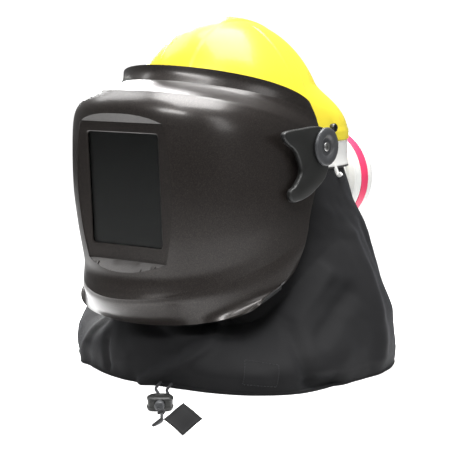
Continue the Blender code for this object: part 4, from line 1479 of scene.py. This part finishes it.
    def chips(self) -> None:
        """Builds the small parts on the circuit board."""
        for i, (x, z, w, h) in enumerate(((22.0, 213.0, 5.0, 4.0), (28.0, 220.0, 3.0, 6.0),
                                          (22.0, 224.0, 4.0, 3.0))):
            fit(block(f"board_chip_{i}", (x - w / 2, 124.7, z - h / 2),
                      (x + w / 2, 126.0, z + h / 2), Look.BLACK, 0.3),
                Body.HELMET, "black_plastic")

    def build(self) -> None:
        """Builds the fan unit and dresses the pieces inside it."""
        self.housing()
        self.filter()
        self.signals()
        self.chips()
        dress(Look.RUBBER, "filter_gasket")
        dress(Look.STEEL, "motor")
        dress(Look.BLACK, "impeller", "battery_tray")
        dress(Look.BOARD, "control_board")
        dress(Look.BATTERY, "battery_pack")
        dress(Look.HAT, "battery_latch")


# ---------------------------------------------------------------- shroud

@dataclass(frozen=True)
class Fold:
    """A fold along a line of (degrees from the front, height) places."""

    line: tuple[tuple[float, float], ...]
    out: float
    wide: float


@dataclass
class Shroud:
    """Fabric skirt with its folds, hem and blank sewn patch.

    The patch's corners are (degrees from the front, height) places; gain scales how far the folds stand out.
    """

    count: int = 420
    rows: int = 120
    cloth: float = 0.9
    hem_radius: float = 2.0
    gain: float = 1.4
    column: float = 0.0033
    patch_corners: tuple[tuple[float, float], ...] = ((44.3, 37.7), (55.3, 32.7), (53.9, 8.3),
                                                      (43.1, 11.3))
    folds: tuple[Fold, ...] = (
        Fold(((8.0, 3.0), (13.0, 14.0), (23.0, 29.0), (33.0, 48.0), (38.0, 66.0)), 6.5, 7.0),
        Fold(((4.0, 66.0), (10.0, 56.0), (17.0, 44.0), (22.0, 40.0)), -5.5, 11.0),
        Fold(((28.0, 72.0), (38.0, 63.0), (46.0, 56.0)), -5.0, 8.0),
        Fold(((-16.0, 34.0), (-13.0, 12.0)), -3.0, 7.0),
        Fold(((-42.0, 70.0), (-36.0, 30.0), (-40.0, 5.0)), 4.0, 12.0),
        Fold(((-88.0, 92.0), (-60.0, 76.0), (-32.0, 66.0)), -14.0, 22.0),
        Fold(((86.5, 114.0), (75.0, 89.0), (64.0, 66.0)), 4.5, 8.0),
        Fold(((92.0, 92.0), (80.0, 70.0), (72.0, 52.0)), -4.0, 9.0),
        Fold(((64.0, 66.0), (62.0, 40.0), (63.0, 12.0)), -4.5, 7.0),
        Fold(((66.0, 10.0), (74.0, 6.0)), -6.0, 9.0),
        Fold(((110.0, 150.0), (104.0, 90.0), (98.0, 20.0)), 4.0, 12.0),
        Fold(((124.0, 150.0), (126.0, 80.0), (130.0, 10.0)), -4.0, 12.0),
        Fold(((150.0, 150.0), (152.0, 80.0), (156.0, 6.0)), 4.5, 13.0),
        Fold(((-104.0, 150.0), (-100.0, 90.0), (-96.0, 10.0)), 4.5, 13.0),
        Fold(((-126.0, 150.0), (-130.0, 80.0), (-128.0, 10.0)), -4.0, 12.0),
        Fold(((-152.0, 150.0), (-150.0, 60.0), (-158.0, 6.0)), 4.0, 13.0),
        Fold(((178.0, 130.0), (176.0, 60.0), (179.0, 6.0)), -3.5, 12.0))

    def plain(self, share: float, turn: float) -> Vector:
        """Point of the unfolded skirt, share 0 at the frame and 1 at the hem."""
        degrees = abs(math.degrees(turn))
        rear = smooth((degrees - 48.0) / 55.0)
        ahead = degrees < 90.0
        z_top, z_mid = lerp(112.0, 221.5, rear), lerp(62.0, 146.0, rear)
        top = plan_point(112.0, 150.5 if ahead else 133.4, turn, lerp(2.0, 3.6, rear))
        mid = plan_point(lerp(113.0, 146.0, rear), 150.0 if ahead else 134.2, turn,
                         lerp(2.1, 4.4, rear))
        corner = 1.55 if turn < 0 else 3.2
        wide = plan_point(200.0, 168.0 if ahead else 160.0, turn, corner if ahead else 2.6)
        waist, floor_turn, floor_z = 0.45, 0.85, 18.0
        if share < waist:
            t = share / waist
            return Vector((lerp(top[0], mid[0], t), HEAD_Y + lerp(top[1], mid[1], t),
                           lerp(z_top, z_mid, t)))
        if share < floor_turn:
            t = (share - waist) / (floor_turn - waist)
            swell = math.sin(t * math.pi / 2)
            return Vector((lerp(mid[0], wide[0], swell), HEAD_Y + lerp(mid[1], wide[1], swell),
                           lerp(z_mid, floor_z, t)))
        t = (share - floor_turn) / (1.0 - floor_turn)
        tuck = lerp(1.0, 0.985, t)
        return Vector((wide[0] * tuck, HEAD_Y + wide[1] * tuck, lerp(floor_z, 0.0, t)))

    def fullness(self, degrees: float, z: float) -> float:
        """How far the folds push the cloth out at a place."""
        here = Vector((degrees * 3.0, z))
        total = 0.0
        for fold in self.folds:
            ends = [Vector((d * 3.0, h)) for d, h in fold.line]
            near = 1e9
            for a, b in zip(ends, ends[1:]):
                span = b - a
                t = min(1.0, max(0.0, (here - a).dot(span) / span.length_squared))
                near = min(near, (here - a - span * t).length)
            if near < fold.wide * 3.0:
                total += fold.out * math.exp(-(near / fold.wide) ** 2)
        return total

    def point(self, share: float, turn: float, lift: float = 0.0) -> Vector:
        """Point of the folded cloth.

        Args:
            share: 0 at the frame and 1 at the hem.
            turn: Angle from the front.
            lift: Extra distance outwards.

        Returns:
            The point in millimetres.
        """
        place = self.plain(share, turn)
        degrees = math.degrees(turn)
        free = smooth((share - 0.06) / 0.2)
        crumple = noise.noise(Vector((degrees * 0.055, place.z * 0.03, 3.0))) * 2.6
        crumple += noise.noise(Vector((degrees * 0.17, place.z * 0.07, 9.0))) * 0.9
        push = free * (self.gain * self.fullness(degrees, place.z) + crumple)
        out = Vector((place.x, place.y - HEAD_Y, 0.0)).normalized()
        return place + out * (push + lift)

    def share_at(self, turn: float, z: float) -> float:
        """Share at which the cloth has a height."""
        low, high = 0.0, 1.0
        for _ in range(24):
            middle = (low + high) / 2
            low, high = (middle, high) if self.plain(middle, turn).z > z else (low, middle)
        return low

    def metric(self, item: bpy.types.Object, rows: int, columns: int) -> None:
        """Lays the surface coordinates out in metres along and across the cloth.

        Args:
            item: The piece, still an open grid.
            rows: Rows of points.
            columns: Points in each row.
        """
        mesh = item.data
        layer = mesh.uv_layers.new(name="cloth")
        drop = [0.0] * columns
        table = []
        for i in range(rows):
            run, line = 0.0, []
            for j in range(columns):
                here = mesh.vertices[i * columns + j].co
                if i:
                    drop[j] += (here - mesh.vertices[(i - 1) * columns + j].co).length
                line.append((self.column * j, drop[j]))
            table.append(line)
        for face in mesh.polygons:
            for loop in face.loop_indices:
                i, j = divmod(mesh.loops[loop].vertex_index, columns)
                wrapped = j == 0 and any(mesh.loops[k].vertex_index % columns == columns - 1
                                         for k in face.loop_indices)
                layer.data[loop].uv = (self.column * (columns if wrapped else j), table[i][j][1])

    def skirt(self) -> tuple[bpy.types.Object, float, float, float]:
        """Builds the folded cloth.

        Returns:
            The piece, its area, its longest girth and its height along the cloth, in metres.
        """
        rings = [[self.point(i / (self.rows - 1), -math.pi + math.tau * j / self.count)
                  for j in range(self.count)]
                 for i in range(self.rows)]
        item = build("fabric_skirt", *skin(rings, cap=False), Look.FABRIC, 180)
        self.metric(item, self.rows, self.count)
        area = sum(face.area for face in item.data.polygons)
        girth = max(sum((a - b).length for a, b in zip(ring, ring[1:] + ring[:1]))
                    for ring in rings) * MM
        tall = max(sum((rings[i][j] - rings[i + 1][j]).length for i in range(self.rows - 1))
                   for j in range(0, self.count, 10)) * MM
        bake(modify(item, "SOLIDIFY", thickness=self.cloth * MM, offset=-1.0), 180)
        return item, area, girth, tall

    def hem(self) -> bpy.types.Object:
        """Builds the rolled hem at the floor."""
        line = []
        for j in range(300):
            place = self.point(1.0, -math.pi + math.tau * j / 300, -0.6)
            place.z = 2.1
            line.append(place)
        return tube("hem_roll", line, self.hem_radius, Look.FABRIC, 10, True)

    def patch(self) -> tuple[bpy.types.Object, bpy.types.Object]:
        """Builds the blank patch and the stitches round it."""
        corners = self.patch_corners

        def place(u: float, v: float, lift: float) -> Vector:
            """Point of the patch.

            Args:
                u: Share of its width.
                v: Share of its height, from the top.
                lift: Distance above the cloth.

            Returns:
                The point in millimetres.
            """
            top = [lerp(a, b, u) for a, b in zip(corners[0], corners[1])]
            low = [lerp(a, b, u) for a, b in zip(corners[3], corners[2])]
            degrees, z = (lerp(a, b, v) for a, b in zip(top, low))
            turn = math.radians(degrees)
            return self.point(self.share_at(turn, z), turn, lift)

        grid = [[place(j / 18, i / 18, 1.0) for j in range(19)] for i in range(19)]
        item = build("blank_patch", *sheet(grid), Look.FABRIC, 60)
        wrap_cloth(item)
        bake(modify(item, "SOLIDIFY", thickness=0.8 * MM, offset=-1.0), 60)
        points: Points = []
        faces: Faces = []
        inset = 0.06
        runs = (((inset, inset), (1 - inset, inset)), ((1 - inset, inset), (1 - inset, 1 - inset)),
                ((1 - inset, 1 - inset), (inset, 1 - inset)), ((inset, 1 - inset), (inset, inset)))
        for start, end in runs:
            for k in range(10):
                ends = [place(lerp(start[0], end[0], (k + s) / 10),
                              lerp(start[1], end[1], (k + s) / 10), 1.3)
                        for s in (0.15, 0.8)]
                along = (ends[1] - ends[0]).normalized()
                side = along.cross(Vector((0.3, -0.9, 0.2))).normalized()
                up = side.cross(along)
                rings = [[c + (side * math.cos(math.tau * n / 6) + up * math.sin(math.tau * n / 6))
                          * r for n in range(6)]
                         for c, r in ((ends[0], 0.12), (ends[0].lerp(ends[1], 0.2), 0.36),
                                      (ends[0].lerp(ends[1], 0.8), 0.36), (ends[1], 0.12))]
                more, sides = skin(rings)
                faces += [tuple(n + len(points) for n in face) for face in sides]
                points += more
        return item, build("patch_stitches", points, faces, Look.CORD, 80)

    def build(self) -> None:
        item, area, girth, tall = self.skirt()
        hem = self.hem()
        patch, stitches = self.patch()
        fit(item, Body.HELMET, "black_fabric", "shroud")
        for piece in (hem, patch, stitches):
            fit(piece, Body.HELMET, "black_fabric")
        LOG.info("shroud area %.4f m2, girth %.3f m, height %.3f m", area, girth, tall)


# ---------------------------------------------------------------- drawcord

@dataclass
class Drawcord:
    """Drawcord with its lock, knot and pull tab on the floor."""

    radius: float = 1.5
    place: Vector = Vector((112.0, -262.0, 7.4))
    turn: float = math.radians(38)
    tab_place: Vector = Vector((188.0, -318.0, 13.2))
    tab_side: float = 26.0
    tab_tilt: float = math.radians(40)
    outline: tuple[tuple[float, float], ...] = ((-7.0, -12.0), (7.0, -12.0), (13.0, -5.0),
                                                (13.0, 4.0), (9.0, 11.0),
                                                (-9.0, 11.0), (-13.0, 4.0), (-13.0, -5.0))

    def at(self, across: float, along: float, up: float) -> Vector:
        """Point from the cord lock's own axes; along runs away from the hem."""
        return self.place + Vector((across * math.cos(self.turn) + along * math.sin(self.turn),
                                    across * math.sin(self.turn) - along * math.cos(self.turn), up))

    def tab_at(self, across: float, up: float, thick: float) -> Vector:
        """Point of the pull tab, which leans back from its lowest corner."""
        facing = Vector((math.cos(self.turn), math.sin(self.turn), 0.0))
        back = Vector((-math.sin(self.turn), math.cos(self.turn), 0.0))
        rise = back * math.cos(self.tab_tilt) + Vector((0.0, 0.0, math.sin(self.tab_tilt)))
        return self.tab_place + facing * across + rise * up + facing.cross(rise) * thick

    def route(self, points: Sequence[Vector]) -> Points:
        """A smooth route through the points that stays on the floor."""
        line = rounded_path(points, 4)
        for place in line:
            place.z = max(place.z, self.radius + 0.1)
        return line

    def lock(self) -> list[bpy.types.Object]:
        """Builds the lock body and its plunger."""
        centre = (sum(a for a, _ in self.outline) / 8, sum(b for _, b in self.outline) / 8)
        soft = rounded_path([Vector((a, b, 0.0)) for a, b in self.outline], 5, True)
        levels = ((-6.9, 0.88), (-6.2, 0.95), (-4.6, 1.0), (-3.2, 1.0), (-2.8, 0.94), (3.0, 0.94),
                  (3.4, 0.98),
                  (5.2, 0.98), (6.5, 0.90), (6.9, 0.84), (6.9, 0.76), (6.2, 0.73), (6.2, 0.66),
                  (6.8, 0.63),
                  (6.8, 0.54), (6.1, 0.51), (6.1, 0.40))
        rings = [[self.at(lerp(centre[0], p.x, s), lerp(centre[1], p.y, s), up) for p in soft]
                 for up, s in levels]
        body = build("lock_body", *skin(rings), Look.BLACK, 40)
        bore = self.bar([(5.0, 5.5), (20.0, 5.5)], "lock_bore", Look.BLACK)
        combine(body, bore, sharp=40)
        button = self.bar([(9.6, 5.0), (17.4, 5.0), (18.7, 4.7), (19.3, 4.0), (19.5, 2.6),
                           (19.1, 1.6)], "lock_plunger",
                          Look.KNOB)
        fit(body, Body.HELMET, "black_plastic", "cord_lock_body")
        fit(button, Body.LOCK_BUTTON, "black_plastic", "cord_lock_button")
        return [body, button]

    def bar(self, spans: Sequence[tuple[float, float]], name: str,
            finish: Finish) -> bpy.types.Object:
        """A round bar along the lock's axis, from pairs of place and radius."""
        rings = [[self.at(r * math.cos(math.tau * k / 40), along, r * math.sin(math.tau * k / 40))
                  for k in range(40)]
                 for along, r in spans]
        return build(name, *skin(rings), finish, 40)

    def knot(self) -> bpy.types.Object:
        """Builds the overhand knot behind the lock."""
        centre = self.at(2.0, 26.6, -2.9)
        line = []
        for k in range(60):
            t = math.tau * k / 60
            line.append(centre + Vector(((math.sin(t) + 2 * math.sin(2 * t)) * 0.95,
                                         (math.cos(t) - 2 * math.cos(2 * t)) * 0.95,
                                         -math.sin(3 * t) * 1.5)))
        item = tube("cord_stopper", line, self.radius, Look.CORD, 12, True)
        return fit(item, Body.HELMET, "cord_black", "cord_knot")

    def tab(self) -> bpy.types.Object:
        """Builds the fabric pull tab with its thick selvedge."""
        half, steps = self.tab_side / 2, 26
        sheets = []
        for sign in (1, -1):
            grid = []
            for i in range(steps + 1):
                row = []
                for j in range(steps + 1):
                    u, v = lerp(-half, half, i / steps), lerp(-half, half, j / steps)
                    across, up = (u - v) / math.sqrt(2.0), (u + v) / math.sqrt(2.0)
                    edge = half - max(abs(u), abs(v))
                    thick = 0.9 if 0.4 < edge < 2.6 else 0.55
                    curl = 0.5 * math.sin(u * 0.2) + 0.4 * math.cos(v * 0.24)
                    row.append(self.tab_at(across, up, sign * thick + curl))
                grid.append(row)
            sheets.append(grid)
        size = steps + 1
        points = [p for grid in sheets for row in grid for p in row]
        faces: Faces = []
        for i in range(steps):
            for j in range(steps):
                a, b, c, d = i * size + j, i * size + j + 1, (i + 1) * size + j + 1, (i
                                                                                      + 1) * size + j
                faces += [(a, b, c, d),
                          (d + size * size, c + size * size, b + size * size, a + size * size)]
        border = ([j for j in range(steps)] + [i * size + steps for i in range(steps)]
                  + [steps * size + j for j in range(steps, 0, -1)]
                  + [i * size for i in range(steps, 0, -1)])
        for a, b in zip(border, border[1:] + border[:1]):
            faces.append((b, a, a + size * size, b + size * size))
        item = build("pull_tag", points, faces, Look.FABRIC, 50)
        wrap_cloth(item)
        return fit(item, Body.HELMET, "black_fabric", "pull_tab")

    def lay(self, name: str, node: str, points: Sequence[Vector]) -> None:
        """Args:
            name: Piece name.
            node: Node that it stands for.
            points: Places along its route.
        """
        line = self.route(points)
        item = tube(name, line, self.radius, Look.CORD, 12)
        fit(item, Body.HELMET, "cord_black", node)

    def build(self) -> None:
        """Builds the lock, knot, tab and the three stretches of cord."""
        lock, knot, tab = self.lock(), self.knot(), self.tab()
        for label, across, start, pieces in (("left", 4.0, Vector((64.0, -186.5, 6.0)),
                                              [*lock, knot]),
                                             ("right", -4.0, Vector((50.0, -188.0, 6.0)),
                                              lock[:1])):
            end, lead = self.at(across, -12.6, -2.0), self.at(across, -24.0, -5.5)
            self.lay(f"cord_run_{label}", f"drawcord_{label}",
                     [start, start + Vector((1.5, -6.0, -1.6)), start + Vector((5.0, -14.0, -4.0)),
                      (start + lead) / 2 + Vector((2.0, -2.0, -4.0)), lead, end])
        corner = self.tab_at(-self.tab_side / math.sqrt(2.0) - self.radius - 0.4, 0.0, 0.0)
        start = self.at(3.0, 32.8, -4.0)
        self.lay("cord_tail", "drawcord_tail",
                 [start, start + Vector((5.0, -6.0, -1.6)), start + Vector((13.0, -16.0, -1.8)),
                  corner + Vector((-13.0, 3.0, -9.0)), corner + Vector((-5.0, 0.5, -3.6)), corner])


# ---------------------------------------------------------------- stage

@dataclass
class Studio:
    """Camera, floor, backdrop and soft lights."""

    target: Vector = Vector((3.21, -17.0, 154.6))
    turn: float = math.radians(38.0)
    pitch: float = math.radians(7.0)
    distance: float = 1819.0
    lens: float = 125.93
    sensor: float = 36.0
    floor_half: float = 4000.0

    def camera(self) -> None:
        """Places the camera."""
        back = Vector((math.sin(self.turn) * math.cos(self.pitch), -math.cos(self.turn)
                       * math.cos(self.pitch),
                       math.sin(self.pitch)))
        data = bpy.data.cameras.new("studio_camera")
        data.lens, data.sensor_width, data.clip_end = self.lens, self.sensor, 50.0
        item = bpy.data.objects.new("studio_camera", data)
        item.location = (self.target + back * self.distance) * MM
        item.rotation_euler = (-back).to_track_quat("-Z", "Y").to_euler()
        bpy.context.scene.collection.objects.link(item)
        bpy.context.scene.camera = item

    def lamp(self, name: str, place: Sequence[float], size: tuple[float, float], power: float,
             aim: Sequence[float] = (0.0, -0.02, 0.2)) -> None:
        """Adds a rectangular softbox aimed at the object.

        Args:
            name: Lamp name.
            place: Its place in metres.
            size: Its width and height.
            power: Its power in watts.
            aim: Point that it faces.
        """
        data = bpy.data.lights.new(name, "AREA")
        data.shape, data.size, data.size_y, data.energy = "RECTANGLE", *size, power
        item = bpy.data.objects.new(name, data)
        item.location = place
        item.rotation_euler = (Vector(aim) - Vector(place)).to_track_quat("-Z", "Y").to_euler()
        bpy.context.scene.collection.objects.link(item)

    def floor(self) -> None:
        """Adds the pale floor."""
        half = self.floor_half
        corners = [Vector((x, y, -0.3)) for x,
                   y in ((-half, -half), (half, -half), (half, half), (-half, half))]
        paper = Finish("floor_paper", (0.16, 0.16, 0.16), 0.9, bump=0.0, patch=0.0, wear=0.0,
                       dust=0.0, level=0.1)
        item = build("studio_floor", corners, [(0, 1, 2, 3)], paper)
        made = paper.material()
        tree = ShaderTree(made.node_tree)
        glow = tree.node("MapRange", {"Value": tree.node("LightPath").outputs["Is Camera Ray"],
                                      "To Min": 0.0, "To Max": 1.0})
        shader = made.node_tree.nodes["Principled BSDF"]
        place = tree.node("TexCoord").outputs["Object"]
        away = tree.node("VectorMath", {0: place}, operation="LENGTH").outputs["Value"]
        near = tree.node("MapRange", {"Value": away, "From Min": 0.30, "From Max": 0.64})
        shade = tree.ramp(near.outputs["Result"],
                          ((0.0, (0.85, 0.85, 0.85)), (1.0, (0.10, 0.10, 0.10))))
        made.node_tree.links.new(shade, shader.inputs["Base Color"])
        shader.inputs["Emission Color"].default_value = (1.0, 1.0, 1.0, 1.0)
        made.node_tree.links.new(glow.outputs["Result"], shader.inputs["Emission Strength"])

    def backdrop(self) -> None:
        """Sets a white backdrop that lights the object more softly than it looks."""
        world = bpy.data.worlds.new("studio_backdrop")
        world.use_nodes = True
        tree = ShaderTree(world.node_tree)
        seen = tree.node("LightPath").outputs["Is Camera Ray"]
        strength = tree.node("MapRange", {"Value": seen, "To Min": 0.18, "To Max": 1.15})
        world.node_tree.links.new(strength.outputs["Result"],
                                  world.node_tree.nodes["Background"].inputs["Strength"])
        world.node_tree.nodes["Background"].inputs["Color"].default_value = (1.0, 1.0, 1.0, 1.0)
        bpy.context.scene.world = world

    def build(self) -> None:
        """Builds the stage, with plain display colours."""
        bpy.context.scene.view_settings.view_transform = "Standard"
        self.camera()
        self.floor()
        self.backdrop()
        self.lamp("top_box", (0.1, 0.15, 1.6), (1.2, 1.0), 50.0)
        self.lamp("left_back_box", (-1.05, 0.85, 1.0), (0.6, 1.1), 75.0)
        self.lamp("left_top_box", (-1.0, -0.1, 1.35), (0.6, 0.7), 7.0)
        self.lamp("front_top_box", (0.45, -1.15, 1.45), (0.9, 0.35), 20.0)
        self.lamp("right_fill", (1.6, -0.2, 1.0), (0.5, 0.9), 5.0)


def main() -> None:
    """Builds every piece and the stage in order."""
    Studio().build()
    Drawcord().build()
    hat = HardHat()
    hat.build()
    Shield().build()
    Pivots().build()
    HeadFrame(hat).build()
    Suspension().build()
    FanUnit().build()
    Shroud().build()


if __name__ == "__main__":
    main()
